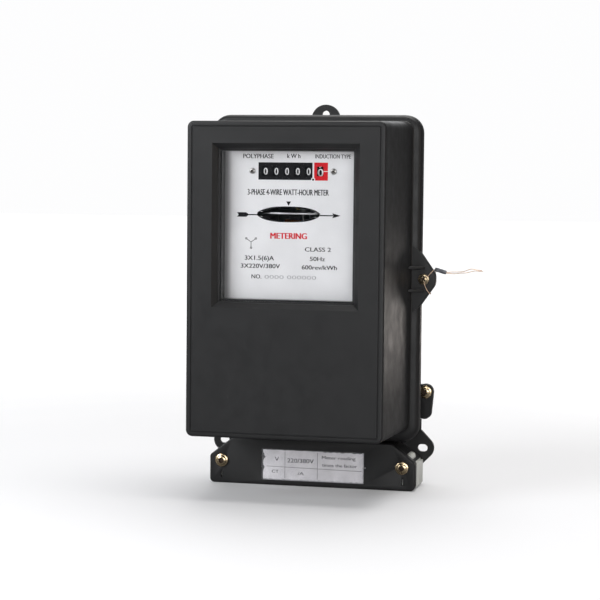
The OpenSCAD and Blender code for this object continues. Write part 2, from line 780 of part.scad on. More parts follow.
brake_magnet(lower_disc_z);  // lower_brake_magnet
register_frame();
worm_wheel();
second_gear();
number_axle();
pinion_axle();
tenths_wheel();
color(black) number_wheel(wheel_x(1));  // number_wheel_1
color(black) number_wheel(wheel_x(2));  // number_wheel_2
color(black) number_wheel(wheel_x(3));  // number_wheel_3
color(black) number_wheel(wheel_x(4));  // number_wheel_4
color(black) number_wheel(wheel_x(5));  // number_wheel_5
carry_pinion(1);  // carry_pinion_1
carry_pinion(2);  // carry_pinion_2
carry_pinion(3);  // carry_pinion_3
carry_pinion(4);  // carry_pinion_4
carry_pinion(5);  // carry_pinion_5
dial_plate();
dial_screws();
main_cover();
window_glass();
window_frame();
cover_screws();
seal_wire();
seal_ferrule();
terminal_block();
terminal_barrels();
terminal_screws();
terminal_cover();
rating_card();
card_window();
terminal_cover_screws();
mirror([1, 0, 0]) side_tab();  // left_side_tab
side_tab();  // right_side_tab
side_tab_screws();
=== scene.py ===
"""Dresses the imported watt-hour meter: moulded case, glazed dial, register, terminal end and seal."""

import logging
import math
from collections.abc import Sequence
from dataclasses import dataclass, field
from enum import Enum
from typing import ClassVar

import bmesh
import bpy
from mathutils import Matrix, Vector


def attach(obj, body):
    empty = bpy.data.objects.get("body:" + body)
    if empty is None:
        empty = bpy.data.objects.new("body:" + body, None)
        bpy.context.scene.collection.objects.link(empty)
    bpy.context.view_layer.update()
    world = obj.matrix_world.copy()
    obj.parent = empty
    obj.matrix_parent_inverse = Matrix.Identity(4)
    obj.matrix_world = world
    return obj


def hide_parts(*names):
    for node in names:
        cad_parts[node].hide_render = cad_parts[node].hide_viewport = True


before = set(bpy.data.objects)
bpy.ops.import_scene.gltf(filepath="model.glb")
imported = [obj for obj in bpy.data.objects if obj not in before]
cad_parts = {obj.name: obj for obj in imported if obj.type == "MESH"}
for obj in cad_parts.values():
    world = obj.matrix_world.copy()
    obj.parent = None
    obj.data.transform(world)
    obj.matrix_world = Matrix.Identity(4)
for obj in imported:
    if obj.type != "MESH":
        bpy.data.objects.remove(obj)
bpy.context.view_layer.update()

LOG = logging.getLogger("meter")
MM = 0.001
CAPITAL = 0.73  # height of a capital of the built-in typeface at size 1
Point = tuple[float, float]
Place = tuple[float, float, float]
Box = tuple[float, float, float, float]
Colour = tuple[float, float, float]
Piece = bpy.types.Object
Material = bpy.types.Material
Tree = bpy.types.NodeTree
Socket = bpy.types.NodeSocket
Vert, Edge, Face = bmesh.types.BMVert, bmesh.types.BMEdge, bmesh.types.BMFace


class Axis(Enum):
    """Direction of a turned or drilled feature."""

    X = (1.0, 0.0, 0.0)
    Y = (0.0, 1.0, 0.0)
    Z = (0.0, 0.0, 1.0)


# ---------------------------------------------------------------- finishes


@dataclass(frozen=True)
class Finish:
    """A surface finish: a colour that drifts a little, a roughness that drifts with it, and a fine grain.

    Sizes are in millimetres on the real surface.
    """

    name: str
    colour: Colour
    roughness: float = 0.45
    metallic: float = 0.0
    specular: float = 0.5
    mottle: float = 0.12
    mottle_size: float = 18.0
    rough_spread: float = 0.06
    grain: float = 0.02
    grain_size: float = 0.5

    made: ClassVar[dict[str, Material]] = {}

    def material(self) -> Material:
        """Makes the Blender material of this finish, once.

        Returns:
            The material.
        """
        if self.name not in Finish.made:
            mat = bpy.data.materials.new(self.name)
            mat.use_nodes = True
            tree = mat.node_tree
            shader = tree.nodes["Principled BSDF"]
            shader.inputs["Metallic"].default_value = self.metallic
            shader.inputs["Specular IOR Level"].default_value = self.specular
            place = tree.nodes.new("ShaderNodeTexCoord").outputs["Object"]
            self.paint(tree, shader, place)
            self.relief(tree, shader, place)
            Finish.made[self.name] = mat
        return Finish.made[self.name]

    def noise(
        self, tree: Tree, place: Socket, size: float, detail: float = 3.0, rough: float = 0.55
    ) -> Socket:
        """Adds a noise pattern.

        Args:
            tree: The material's nodes.
            place: The coordinates that it reads.
            size: The size of its blotches, in millimetres.
            detail: How many finer layers it has.
            rough: How strong the finer layers are.

        Returns:
            The pattern's value socket.
        """
        node = tree.nodes.new("ShaderNodeTexNoise")
        node.inputs["Scale"].default_value = 1.0 / (size * MM)
        node.inputs["Detail"].default_value = detail
        node.inputs["Roughness"].default_value = rough
        tree.links.new(place, node.inputs["Vector"])
        return node.outputs["Fac"]

    def spread(self, tree: Tree, value: Socket, low: float, high: float, ends: Point = (0.3, 0.7)) -> Socket:
        """Maps a pattern's middle range onto low to high.

        Args:
            tree: The material's nodes.
            value: The pattern's socket.
            low: The value at the lower end.
            high: The value at the upper end.
            ends: The part of the pattern's range that is used.

        Returns:
            The mapped socket.
        """
        node = tree.nodes.new("ShaderNodeMapRange")
        node.inputs["From Min"].default_value = ends[0]
        node.inputs["From Max"].default_value = ends[1]
        node.inputs["To Min"].default_value = low
        node.inputs["To Max"].default_value = high
        tree.links.new(value, node.inputs["Value"])
        return node.outputs["Result"]

    def step(self, tree: Tree, value: Socket, ends: Point, values: Point) -> Socket:
        """Maps a value onto another range with a smooth step.

        Args:
            tree: The material's nodes.
            value: The socket that it reads.
            ends: The range of the value.
            values: The range that it is mapped onto.

        Returns:
            The mapped socket.
        """
        node = tree.nodes.new("ShaderNodeMapRange")
        node.interpolation_type = "SMOOTHSTEP"
        node.inputs["From Min"].default_value, node.inputs["From Max"].default_value = ends
        node.inputs["To Min"].default_value, node.inputs["To Max"].default_value = values
        tree.links.new(value, node.inputs["Value"])
        return node.outputs["Result"]

    def blend(self, tree: Tree, share: Socket, first: Socket | Colour, second: Socket | Colour) -> Socket:
        """Mixes two colours or colour sockets by a share.

        Args:
            tree: The material's nodes.
            share: The share of the second one.
            first: The colour at share 0.
            second: The colour at share 1.

        Returns:
            The mixed socket.
        """
        node = tree.nodes.new("ShaderNodeMix")
        node.data_type = "RGBA"
        tree.links.new(share, node.inputs["Factor"])
        for socket, value in ((node.inputs["A"], first), (node.inputs["B"], second)):
            if isinstance(value, tuple):
                socket.default_value = (*value, 1.0)
            else:
                tree.links.new(value, socket)
        return node.outputs["Result"]

    def paint(self, tree: Tree, shader: bpy.types.Node, place: Socket) -> None:
        """Links the drifting colour and roughness.

        Args:
            tree: The material's nodes.
            shader: The material's shader.
            place: The coordinates that it reads.
        """
        drift = self.noise(tree, place, self.mottle_size)
        dark = tuple(c * (1 - self.mottle) for c in self.colour)
        light = tuple(min(1.0, c * (1 + self.mottle)) for c in self.colour)
        colour = self.blend(tree, self.spread(tree, drift, 0.0, 1.0), dark, light)
        tree.links.new(self.surface(tree, place, colour), shader.inputs["Base Color"])
        low, high = self.roughness - self.rough_spread, self.roughness + self.rough_spread
        wear = self.noise(tree, place, self.mottle_size * 0.35)
        tree.links.new(self.spread(tree, wear, low, high), shader.inputs["Roughness"])

    def surface(self, tree: Tree, place: Socket, colour: Socket) -> Socket:
        """Adds what lies on the colour, such as dust or painted shade, and returns the result."""
        return colour

    def relief(self, tree: Tree, shader: bpy.types.Node, place: Socket) -> None:
        """Links the fine grain as a bump of the given depth.

        Args:
            tree: The material's nodes.
            shader: The material's shader.
            place: The coordinates that it reads.
        """
        bump = tree.nodes.new("ShaderNodeBump")
        bump.inputs["Strength"].default_value = 1.0
        bump.inputs["Distance"].default_value = self.grain * MM
        tree.links.new(self.pattern(tree, place), bump.inputs["Height"])
        tree.links.new(bump.outputs["Normal"], shader.inputs["Normal"])

    def pattern(self, tree: Tree, place: Socket) -> Socket:
        """Returns the height pattern of the grain."""
        return self.noise(tree, place, self.grain_size, 2.0)


@dataclass(frozen=True)
class Moulding(Finish):
    """Black moulded plastic: spark-eroded grain, faint scuffs and a few specks of dust."""

    speck: Colour = (0.12, 0.12, 0.12)
    speck_size: float = 9.0
    speck_share: float = 0.035

    def surface(self, tree: Tree, place: Socket, colour: Socket) -> Socket:
        """Lays dust specks on the colour.

        Args:
            tree: The material's nodes.
            place: The coordinates that it reads.
            colour: The colour underneath.

        Returns:
            The colour with it on top.
        """
        cells = tree.nodes.new("ShaderNodeTexVoronoi")
        cells.inputs["Scale"].default_value = 1.0 / (self.speck_size * MM)
        tree.links.new(place, cells.inputs["Vector"])
        dots = self.spread(tree, cells.outputs["Distance"], 0.55, 0.0, (0.0, self.speck_share))
        dusty = self.blend(tree, dots, (0.0, 0.0, 0.0), self.speck)
        add = tree.nodes.new("ShaderNodeMix")
        add.data_type = "RGBA"
        add.blend_type = "ADD"
        add.inputs["Factor"].default_value = 1.0
        tree.links.new(colour, add.inputs["A"])
        tree.links.new(dusty, add.inputs["B"])
        return add.outputs["Result"]


@dataclass(frozen=True)
class Plated(Finish):
    """Plated metal with a second tone in cloudy stains."""

    stain: Colour = (0.3, 0.24, 0.12)
    stain_size: float = 2.5
    stain_share: float = 0.6

    def surface(self, tree: Tree, place: Socket, colour: Socket) -> Socket:
        """Lays the stains on the plating.

        Args:
            tree: The material's nodes.
            place: The coordinates that it reads.
            colour: The colour underneath.

        Returns:
            The colour with it on top.
        """
        cloud = self.noise(tree, place, self.stain_size, 4.0, 0.65)
        share = self.spread(tree, cloud, 0.0, self.stain_share, (0.48, 0.66))
        return self.blend(tree, share, colour, self.stain)


@dataclass(frozen=True)
class Lined(Finish):
    """A finish of fine parallel lines: wound wire, stacked laminations or a brushed sheet."""

    across: Axis = Axis.Z
    pitch: float = 0.8

    def pattern(self, tree: Tree, place: Socket) -> Socket:
        """Makes a wave pattern of the finish's pitch.

        Args:
            tree: The material's nodes.
            place: The coordinates that it reads.

        Returns:
            The pattern's socket.
        """
        wave = tree.nodes.new("ShaderNodeTexWave")
        wave.wave_type = "BANDS"
        wave.bands_direction = self.across.name
        wave.inputs["Scale"].default_value = 0.314 / (self.pitch * MM)
        wave.inputs["Distortion"].default_value = 0.6
        wave.inputs["Detail"].default_value = 1.0
        tree.links.new(place, wave.inputs["Vector"])
        return wave.outputs["Fac"]


@dataclass(frozen=True)
class Clear(Finish):
    """A clear pane: what is behind it shows through, and it keeps a faint sheen and smears."""

    opacity: float = 0.05

    def paint(self, tree: Tree, shader: bpy.types.Node, place: Socket) -> None:
        """Sets an even tint and an opacity that rises a little in the smears.

        Args:
            tree: The material's nodes.
            shader: The material's shader.
            place: The coordinates that it reads.
        """
        super().paint(tree, shader, place)
        smear = self.noise(tree, place, 22.0, 3.0)
        see = self.spread(tree, smear, self.opacity * 0.6, self.opacity * 1.5)
        tree.links.new(see, shader.inputs["Alpha"])


@dataclass(frozen=True)
class PaleFloor(Finish):
    """The studio floor, which glows a little for the camera so that it runs into the backdrop."""

    near_glow: float = 0.14
    far_glow: float = 0.9
    reach: Point = (0.12, 1.6)
    mirrored: float = 0.25

    def surface(self, tree: Tree, place: Socket, colour: Socket) -> Socket:
        """Adds the glow that only the camera sees.

        Args:
            tree: The material's nodes.
            place: The coordinates that it reads.
            colour: The colour underneath.

        Returns:
            The colour, dimmer in mirrors.
        """
        shader = tree.nodes["Principled BSDF"]
        away = tree.nodes.new("ShaderNodeVectorMath")
        away.operation = "LENGTH"
        tree.links.new(place, away.inputs[0])
        glow = self.step(tree, away.outputs["Value"], self.reach, (self.near_glow, self.far_glow))
        seen = tree.nodes.new("ShaderNodeLightPath")
        only = tree.nodes.new("ShaderNodeMath")
        only.operation = "MULTIPLY"
        tree.links.new(glow, only.inputs[0])
        tree.links.new(seen.outputs["Is Camera Ray"], only.inputs[1])
        shader.inputs["Emission Color"].default_value = (1.0, 1.0, 1.0, 1.0)
        tree.links.new(only.outputs["Value"], shader.inputs["Emission Strength"])
        dim = tuple(c * self.mirrored for c in self.colour)
        return self.blend(tree, seen.outputs["Is Glossy Ray"], colour, dim)


@dataclass(frozen=True)
class ShadedDial(Finish):
    """White enamel with painted shade: darker along its left and upper edges, where the window frame shadows
    it.
    """

    # painted shade: the X and Z ranges in millimetres over which the dial darkens towards its left and upper
    # edges, and the tones it reaches there
    left: Point = (-46.6, -41.8)
    top: Point = (223.4, 219.4)
    left_tone: float = 0.32
    top_tone: float = 0.8

    def surface(self, tree: Tree, place: Socket, colour: Socket) -> Socket:
        """Paints shade on the left and the upper edge, standing in for the window frame's shadow.

        Args:
            tree: The material's nodes.
            place: The coordinates that it reads.
            colour: The colour underneath.

        Returns:
            The colour with it on top.
        """
        apart = tree.nodes.new("ShaderNodeSeparateXYZ")
        tree.links.new(place, apart.inputs["Vector"])
        # each edge is painted darker, standing in for the shadow of the window frame
        for socket, (low, high), tone in (("X", self.left, self.left_tone), ("Z", self.top, self.top_tone)):
            share = self.step(tree, apart.outputs[socket], (low * MM, high * MM), (1.0, 0.0))
            colour = self.blend(tree, share, colour, tuple(c * tone for c in self.colour))
        return colour


@dataclass(frozen=True)
class TwoTone(Finish):
    """A block whose upper part, above a level, is moulded in black."""

    level: float = -7.4
    upper: Colour = (0.0125, 0.0125, 0.0132)

    def surface(self, tree: Tree, place: Socket, colour: Socket) -> Socket:
        """Colours everything above the level.

        Args:
            tree: The material's nodes.
            place: The coordinates that it reads.
            colour: The colour underneath.

        Returns:
            The colour with it on top.
        """
        apart = tree.nodes.new("ShaderNodeSeparateXYZ")
        tree.links.new(place, apart.inputs["Vector"])
        share = self.spread(tree, apart.outputs["Z"], 0.0, 1.0, (self.level * MM, (self.level + 0.1) * MM))
        return self.blend(tree, share, colour, self.upper)


CASE = Moulding(
    "moulding_black", (0.0125, 0.0125, 0.0132), roughness=0.43, specular=0.4, grain=0.012,
    grain_size=0.35, mottle=0.06, mottle_size=30,
)
POLISHED = Moulding(
    "frame_polished", (0.03, 0.03, 0.031), roughness=0.3, specular=0.6, rough_spread=0.03,
    grain=0.004, grain_size=0.5, mottle=0.06, mottle_size=30,
)
GASKET = Finish(
    "gasket_rubber", (0.02, 0.02, 0.02), roughness=0.7, specular=0.3, grain=0.02, grain_size=0.6,
)
BRASS = Plated(
    "screw_brass", (0.78, 0.62, 0.4), roughness=0.24, metallic=1.0, stain=(0.5, 0.38, 0.22),
    stain_size=3.0, stain_share=0.4, grain=0.004, grain_size=0.6, mottle_size=4,
)
BARREL = Plated(
    "barrel_brass", (0.78, 0.6, 0.27), roughness=0.3, metallic=1.0, grain=0.01, mottle_size=6,
)
STEEL = Plated(
    "screw_steel", (0.42, 0.41, 0.4), roughness=0.3, metallic=1.0, stain=(0.2, 0.18, 0.16),
    grain=0.006, mottle_size=4,
)
SEAL_SCREW = Plated(
    "seal_screw_brass", (0.52, 0.42, 0.28), roughness=0.28, metallic=1.0, stain=(0.26, 0.2, 0.12),
    stain_size=2.0, grain=0.005, mottle_size=3,
)
CAST = Finish(
    "cast_frame", (0.42, 0.43, 0.44), roughness=0.5, metallic=1.0, grain=0.05, grain_size=1.2,
)
SHEET = Lined("sheet_steel", (0.5, 0.5, 0.5), roughness=0.36, metallic=1.0, grain=0.004, pitch=0.3)
DISC = Lined(
    "disc_aluminium", (0.5, 0.51, 0.52), roughness=0.42, metallic=1.0, grain=0.003, pitch=0.25,
    mottle=0.04,
)
WHEEL = Finish("wheel_black", (0.008, 0.009, 0.012), roughness=0.45, specular=0.15, grain=0.008)
RED_WHEEL = Finish("wheel_red", (0.01, 0.009, 0.011), roughness=0.45, specular=0.15, grain=0.008)
NYLON = Finish("pinion_nylon", (0.72, 0.7, 0.64), roughness=0.45, grain=0.01)
# the dial enamel carries painted shade along its left and upper edges
ENAMEL = ShadedDial(
    "dial_enamel", (0.77, 0.77, 0.785), roughness=0.38, specular=0.35, mottle=0.02, mottle_size=30,
    grain=0.004, grain_size=0.8,
)
GLASS = Clear(
    "window_glass", (0.02, 0.024, 0.025), roughness=0.06, specular=0.14, mottle=0.03,
    rough_spread=0.02, grain=0.002, grain_size=20, opacity=0.03,
)
FILM = Clear(
    "card_film", (0.8, 0.8, 0.84), roughness=0.42, mottle=0.05, rough_spread=0.05, grain=0.12,
    grain_size=9, opacity=0.1,
)
FILM_EDGE = Finish(
    "film_edge", (0.5, 0.5, 0.53), roughness=0.25, mottle=0.15, mottle_size=4, grain=0.01,
)
# painted shade: dark brown laid on the faces of the screws' cross recesses so that they read as shaded
RECESS_SHADE = Finish(
    "recess_brown", (0.045, 0.024, 0.012), roughness=0.7, metallic=0.0, mottle=0.3, mottle_size=1.0,
    grain=0.01,
)
PAPER = Finish(
    "card_paper", (0.88, 0.86, 0.89), roughness=0.8, specular=0.2, mottle=0.08, mottle_size=7,
    grain=0.03, grain_size=1.2,
)
COPPER = Plated(
    "seal_copper", (0.8, 0.56, 0.4), roughness=0.5, metallic=0.35, stain=(0.8, 0.7, 0.55),
    stain_size=3, grain=0.01,
)
LEAD = Plated(
    "ferrule_lead", (0.13, 0.135, 0.15), roughness=0.36, metallic=0.45, stain=(0.34, 0.34, 0.35),
    stain_size=1.6, grain=0.03, grain_size=0.5,
)
MAGNET = Finish(
    "magnet_grey", (0.12, 0.12, 0.13), roughness=0.5, metallic=0.6, grain=0.03, grain_size=0.8,
)
CORE = Lined(
    "core_laminations", (0.2, 0.2, 0.21), roughness=0.45, metallic=0.9, grain=0.05, pitch=0.9,
)
TAPE = Lined("coil_tape", (0.42, 0.3, 0.08), roughness=0.55, grain=0.06, pitch=3.4, mottle_size=6)
WINDING = Lined(
    "coil_copper", (0.62, 0.24, 0.1), roughness=0.35, metallic=0.8, grain=0.12, pitch=1.4,
)
INK = Finish(
    "dial_ink", (0.009, 0.009, 0.011), roughness=0.5, specular=0.12, mottle=0.1, mottle_size=3,
    grain=0.002,
)
RED_INK = Finish(
    "dial_red_ink", (0.62, 0.012, 0.02), roughness=0.45, specular=0.15, mottle=0.06, mottle_size=3,
    grain=0.002,
)
WHITE_INK = Finish(
    "digit_white_ink", (0.75, 0.75, 0.76), roughness=0.45, mottle=0.04, mottle_size=2, grain=0.002,
)
GREY_INK = Finish(
    "stamp_grey_ink", (0.36, 0.36, 0.38), roughness=0.5, mottle=0.25, mottle_size=1.5, grain=0.002,
)
CARD_INK = Finish(
    "card_grey_ink", (0.03, 0.03, 0.04), roughness=0.7, mottle=0.2, mottle_size=1.2, grain=0.002,
)
FLOOR = PaleFloor(
    "studio_floor", (0.7, 0.7, 0.715), roughness=0.8, specular=0.1, mottle=0.006, mottle_size=600,
    grain=0.0,
)
CHEEK = Finish(
    "cheek_grey", (0.66, 0.67, 0.64), roughness=0.5, specular=0.4, grain=0.02, grain_size=0.5,
    mottle=0.04,
)
BLOCK = TwoTone(
    "block_grey", (0.66, 0.67, 0.64), roughness=0.5, specular=0.4, grain=0.02, grain_size=0.5,
    mottle=0.05,
)


# ---------------------------------------------------------------- mesh making


class Form:
    """A mesh in the making, in millimetres, finished as an object in metres."""

    def __init__(self) -> None:
        """Starts an empty mesh."""
        self.bm = bmesh.new()

    def outline(self, points: Sequence[Point], y: float) -> Face:
        """Adds a flat face from points in X and Z at a depth, and returns it."""
        verts = [self.bm.verts.new((x, y, z)) for x, z in points]
        return self.bm.faces.new(verts)

    def rounded(self, half: float, z0: float, z1: float, radius: float, y: float, steps: int) -> Face:
        """Adds a flat rounded rectangle, centred in X.

        Args:
            half: Half its width.
            z0: Its lowest level.
            z1: Its highest level.
            radius: The radius of its corners.
            y: Its depth.
            steps: Segments in each corner.

        Returns:
            Its face.
        """
        face = self.outline([(-half, z0), (half, z0), (half, z1), (-half, z1)], y)
        faces = {f for v in self.bevel(face.verts, radius, steps) for f in v.link_faces}
        return max(faces, key=lambda f: f.calc_area())

    def loop(self, half: float, z0: float, z1: float, radius: float, y: float, steps: int = 8) -> list[Edge]:
        """Adds the edges of a rounded rectangle with no face.

        Args:
            half: Half its width.
            z0: Its lowest level.
            z1: Its highest level.
            radius: The radius of its corners.
            y: Its depth.
            steps: Segments in each corner.

        Returns:
            Its edges.
        """
        face = self.rounded(half, z0, z1, radius, y, steps)
        edges = list(face.edges)
        bmesh.ops.delete(self.bm, geom=[face], context="FACES_ONLY")
        return edges

    def loft(self, loops: Sequence[list[Edge]]) -> None:
        """Joins each loop to the next by a band of faces."""
        for first, second in zip(loops, loops[1:]):
            bmesh.ops.bridge_loops(self.bm, edges=first + second)

    def thicken(self, faces: Sequence[Face], move: Vector | Place) -> None:
        """Extrudes faces along a move into a closed solid.

        Args:
            faces: The faces.
            move: How far and which way they go.
        """
        done = bmesh.ops.extrude_face_region(self.bm, geom=list(faces), use_keep_orig=True)
        verts = [v for v in done["geom"] if isinstance(v, Vert)]
        bmesh.ops.translate(self.bm, verts=verts, vec=Vector(move))

    def slab(self, points: Sequence[Point], y_back: float, y_front: float) -> None:
        """Adds a solid with an outline in X and Z, from y_back forward to y_front."""
        self.thicken([self.outline(points, y_back)], (0, y_front - y_back, 0))

    def bar(self, start: Point, end: Point, width: float, y: float, thick: float) -> None:
        """Adds a straight printed line.

        Args:
            start: One end, in X and Z.
            end: The other end.
            width: Its width.
            y: The level of its middle.
            thick: Half its thickness.
        """
        a, b = Vector(start), Vector(end)
        side = Vector((a.y - b.y, b.x - a.x)).normalized() * width / 2
        self.slab([tuple(a + side), tuple(b + side), tuple(b - side), tuple(a - side)], y + thick, y - thick)

    def spin(self, geom: Sequence[Vert | Edge], centre: Place, axis: Axis, steps: int) -> None:
        """Spins a section a full turn round an axis.

        Args:
            geom: The section's vertices and edges.
            centre: A point on the axis.
            axis: The axis.
            steps: Facets round it.
        """
        bmesh.ops.spin(
            self.bm, geom=list(geom), cent=centre, axis=axis.value,
            angle=math.tau, steps=steps, use_merge=True,
        )

    def ring(self, centre: Point, radius: float, width: float, y: float, thick: float, steps: int) -> None:
        """Adds a flat printed ring round a centre, by spinning its section.

        Args:
            centre: Its middle, in X and Z.
            radius: The radius of its middle line.
            width: The width of the line.
            y: The level of its middle.
            thick: Half its thickness.
            steps: Facets round it.
        """
        x, z = centre
        near, far = radius - width / 2, radius + width / 2
        section = [(near, thick), (far, thick), (far, -thick), (near, -thick)]
        verts = [self.bm.verts.new((x + r, y + dy, z)) for r, dy in section]
        face = self.bm.faces.new(verts)
        edges = list(face.edges)
        bmesh.ops.delete(self.bm, geom=[face], context="FACES_ONLY")
        self.spin(verts + edges, (x, y, z), Axis.Y, steps)

    def turn(self, profile: Sequence[Point], centre: Place, axis: Axis = Axis.Y, steps: int = 48) -> None:
        """Adds a turned solid.

        Args:
            profile: Radius and distance along the axis, from one end of the axis to the other.
            centre: The point on the axis at distance 0.
            axis: The axis.
            steps: Facets round it.
        """
        out = {Axis.X: Vector((0, 0, 1)), Axis.Y: Vector((1, 0, 0)), Axis.Z: Vector((1, 0, 0))}[axis]
        along = Vector(axis.value)
        origin = Vector(centre)
        verts = [self.bm.verts.new(origin + out * r + along * d) for r, d in profile]
        edges = [self.bm.edges.new(pair) for pair in zip(verts, verts[1:])]
        self.spin(verts + edges, centre, axis, steps)
        bmesh.ops.remove_doubles(self.bm, verts=self.bm.verts[:], dist=1e-4)

    def bevel(
        self, geom: Sequence[Vert | Edge], width: float, segments: int, clamp: bool = False
    ) -> list[Vert]:
        """Rounds corners or edges.

        Args:
            geom: The vertices or the edges, not both.
            width: How far the rounding reaches.
            segments: Its facets.
            clamp: Whether it stops before it overlaps itself.

        Returns:
            The new vertices.
        """
        kind = "VERTICES" if geom and isinstance(geom[0], Vert) else "EDGES"
        done = bmesh.ops.bevel(
            self.bm, geom=list(geom), offset=width, offset_type="OFFSET", segments=segments,
            profile=0.5, affect=kind, clamp_overlap=clamp, material=-1,
        )
        return done["verts"]

    def soften(self, width: float, segments: int = 2, limit: float = 30.0) -> None:
        """Bevels every edge that turns by more than limit degrees.

        Args:
            width: How far the bevel reaches.
            segments: Its facets.
            limit: The angle, in degrees.
        """
        turn = math.radians(limit)
        sharp = [e for e in self.bm.edges if len(e.link_faces) == 2 and e.calc_face_angle(0.0) > turn]
        self.bevel(sharp, width, segments, clamp=True)

    def slice(self, axis: Axis, at: float, faces: Sequence[Face] | None = None) -> None:
        """Cuts the mesh along a plane across an axis without removing anything.

        Args:
            axis: The axis that the plane crosses.
            at: Where it crosses.
            faces: The faces, or None for all of them.
        """
        chosen = list(faces) if faces else self.bm.faces[:]
        geom = {g for f in chosen for g in (*f.verts, *f.edges, f)}
        normal = Vector(axis.value)
        bmesh.ops.bisect_plane(self.bm, geom=list(geom), plane_co=normal * at, plane_no=normal, dist=1e-5)

    def finish(self, name: str, finish: Finish, recalc: bool = True) -> Piece:
        """Turns the mesh into an object in metres at the origin.

        Args:
            name: The piece's name.
            finish: Its finish.
            recalc: Whether its faces are turned outwards here.

        Returns:
            The object.
        """
        bmesh.ops.remove_doubles(self.bm, verts=self.bm.verts[:], dist=1e-4)
        if recalc:
            bmesh.ops.recalc_face_normals(self.bm, faces=self.bm.faces[:])
        bmesh.ops.scale(self.bm, verts=self.bm.verts[:], vec=(MM, MM, MM))
        mesh = bpy.data.meshes.new(name)
        self.bm.to_mesh(mesh)
        self.bm.free()
        obj = bpy.data.objects.new(name, mesh)
        bpy.context.scene.collection.objects.link(obj)
        mesh.materials.append(finish.material())
        shade(obj)
        return obj


def shade(obj: Piece, angle: float = 35.0) -> None:
    """Shades an object smooth, with its edges sharper than an angle kept crisp.

    Args:
        obj: The object.
        angle: The angle, in degrees.
    """
    mesh = obj.data
    mesh.shade_smooth()
    mesh.set_sharp_from_angle(angle=math.radians(angle))


def baked(obj: Piece) -> Piece:
    """Applies an object's modifiers to its mesh.

    Args:
        obj: The object.

    Returns:
        The same object.
    """
    graph = bpy.context.evaluated_depsgraph_get()
    mesh = bpy.data.meshes.new_from_object(obj.evaluated_get(graph), depsgraph=graph)
    old = obj.data
    obj.modifiers.clear()
    obj.data = mesh
    mesh.name = obj.name
    bpy.data.meshes.remove(old)
    return obj


def cut(obj: Piece, tool: Form, tint: int = 0) -> Piece:
    """Cuts a tool's shape out of an object.

    Args:
        obj: The object.
        tool: The shape to cut out of it.
        tint: The material slot that the cut faces take; slot 1 holds the painted shade of a screw's recess.

    Returns:
        The object.
    """
    cutter = tool.finish("cutter", CASE)
    # the cut faces take the painted shade of a recess
    if tint:
        cutter.data.materials.append(RECESS_SHADE.material())
        for face in cutter.data.polygons:
            face.material_index = tint
    mod = obj.modifiers.new("cut", "BOOLEAN")
    mod.operation = "DIFFERENCE"
    mod.solver = "EXACT"
    mod.object = cutter
    baked(obj)
    bpy.data.objects.remove(cutter)
    shade(obj)
    return obj


def joined(name: str, parts: Sequence[Piece]) -> Piece:
    """Joins objects into the first one, which takes the name.

    Args:
        name: The name.
        parts: The objects.

    Returns:
        The first object with all the meshes.
    """
    form = bmesh.new()
    for part in parts:
        form.from_mesh(part.data)
    first = parts[0]
    form.to_mesh(first.data)
    form.free()
    for part in parts[1:]:
        bpy.data.objects.remove(part)
    first.name = name
    shade(first)
    return first


def lettering(
    text: str, height: float, span: Point, base: float, level: float,
    thick: float = 0.02, weight: float = 0.03,
) -> Form:
    """Makes printed letters on a plane that faces forward.

    Args:
        text: The letters.
        height: The height of a capital, in millimetres.
        span: The X of the first letter's left edge and of the last letter's right edge.
        base: The Z of the foot of the capitals.
        level: The Y of the printed surface.
        thick: Half the thickness of the ink.
        weight: How far the strokes are widened, as a share of the letter height.

    Returns:
        The letters as a form.
    """
    curve = bpy.data.curves.new("lettering", "FONT")
    curve.body = text
    curve.resolution_u = 3
    curve.extrude = 1.0
    holder = bpy.data.objects.new("lettering", curve)
    bpy.context.scene.collection.objects.link(holder)
    graph = bpy.context.evaluated_depsgraph_get()
    mesh = bpy.data.meshes.new_from_object(holder.evaluated_get(graph), depsgraph=graph)
    form = Form()
    form.bm.from_mesh(mesh)
    bpy.data.objects.remove(holder)
    bpy.data.curves.remove(curve)
    bpy.data.meshes.remove(mesh)
    bmesh.ops.remove_doubles(form.bm, verts=form.bm.verts[:], dist=1e-5)
    low = min(v.co.x for v in form.bm.verts)
    high = max(v.co.x for v in form.bm.verts)
    wide = (span[1] - span[0]) / (high - low)
    tall = height / CAPITAL
    shape = Matrix(
        ((wide, 0, 0, span[0] - low * wide), (0, 0, -thick, level), (0, tall, 0, base), (0, 0, 0, 1))
    )
    bmesh.ops.transform(form.bm, matrix=shape, verts=form.bm.verts[:])
    if weight:
        base_geom = form.bm.verts[:] + form.bm.edges[:] + form.bm.faces[:]
        for side, swell in ((-1, 1.3), (1, 1.6)):
            done = bmesh.ops.duplicate(form.bm, geom=base_geom)
            verts = [g for g in done["geom"] if isinstance(g, Vert)]
            bmesh.ops.translate(form.bm, verts=verts, vec=(side * weight * height, -level, 0))
            bmesh.ops.scale(form.bm, verts=verts, vec=(1, swell, 1))
            bmesh.ops.translate(form.bm, verts=verts, vec=(0, level, 0))
    return form


def printed(name: str, forms: Sequence[Form], finish: Finish, body: str) -> Piece:
    """Joins printed forms into one piece that rides on a body.

    Args:
        name: The piece's name.
        forms: What is printed.
        finish: Its ink.
        body: The body that it rides on.

    Returns:
        The piece.
    """
    parts = [form.finish(f"{name}_{i}", finish) for i, form in enumerate(forms)]
    piece = joined(name, parts)
    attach(piece, body)
    LOG.info("printed %s, %d faces", name, len(piece.data.polygons))
    return piece


# ---------------------------------------------------------------- parts of the meter


def between(first: float, second: float, share: float) -> float:
    """Returns the value at a share of the way from the first to the second."""
    return first + (second - first) * share


def rectangle(box: Box) -> list[Point]:
    """Returns the corners of a box given as left, right, low and high."""
    left, right, low, high = box
    return [(left, low), (right, low), (right, high), (left, high)]


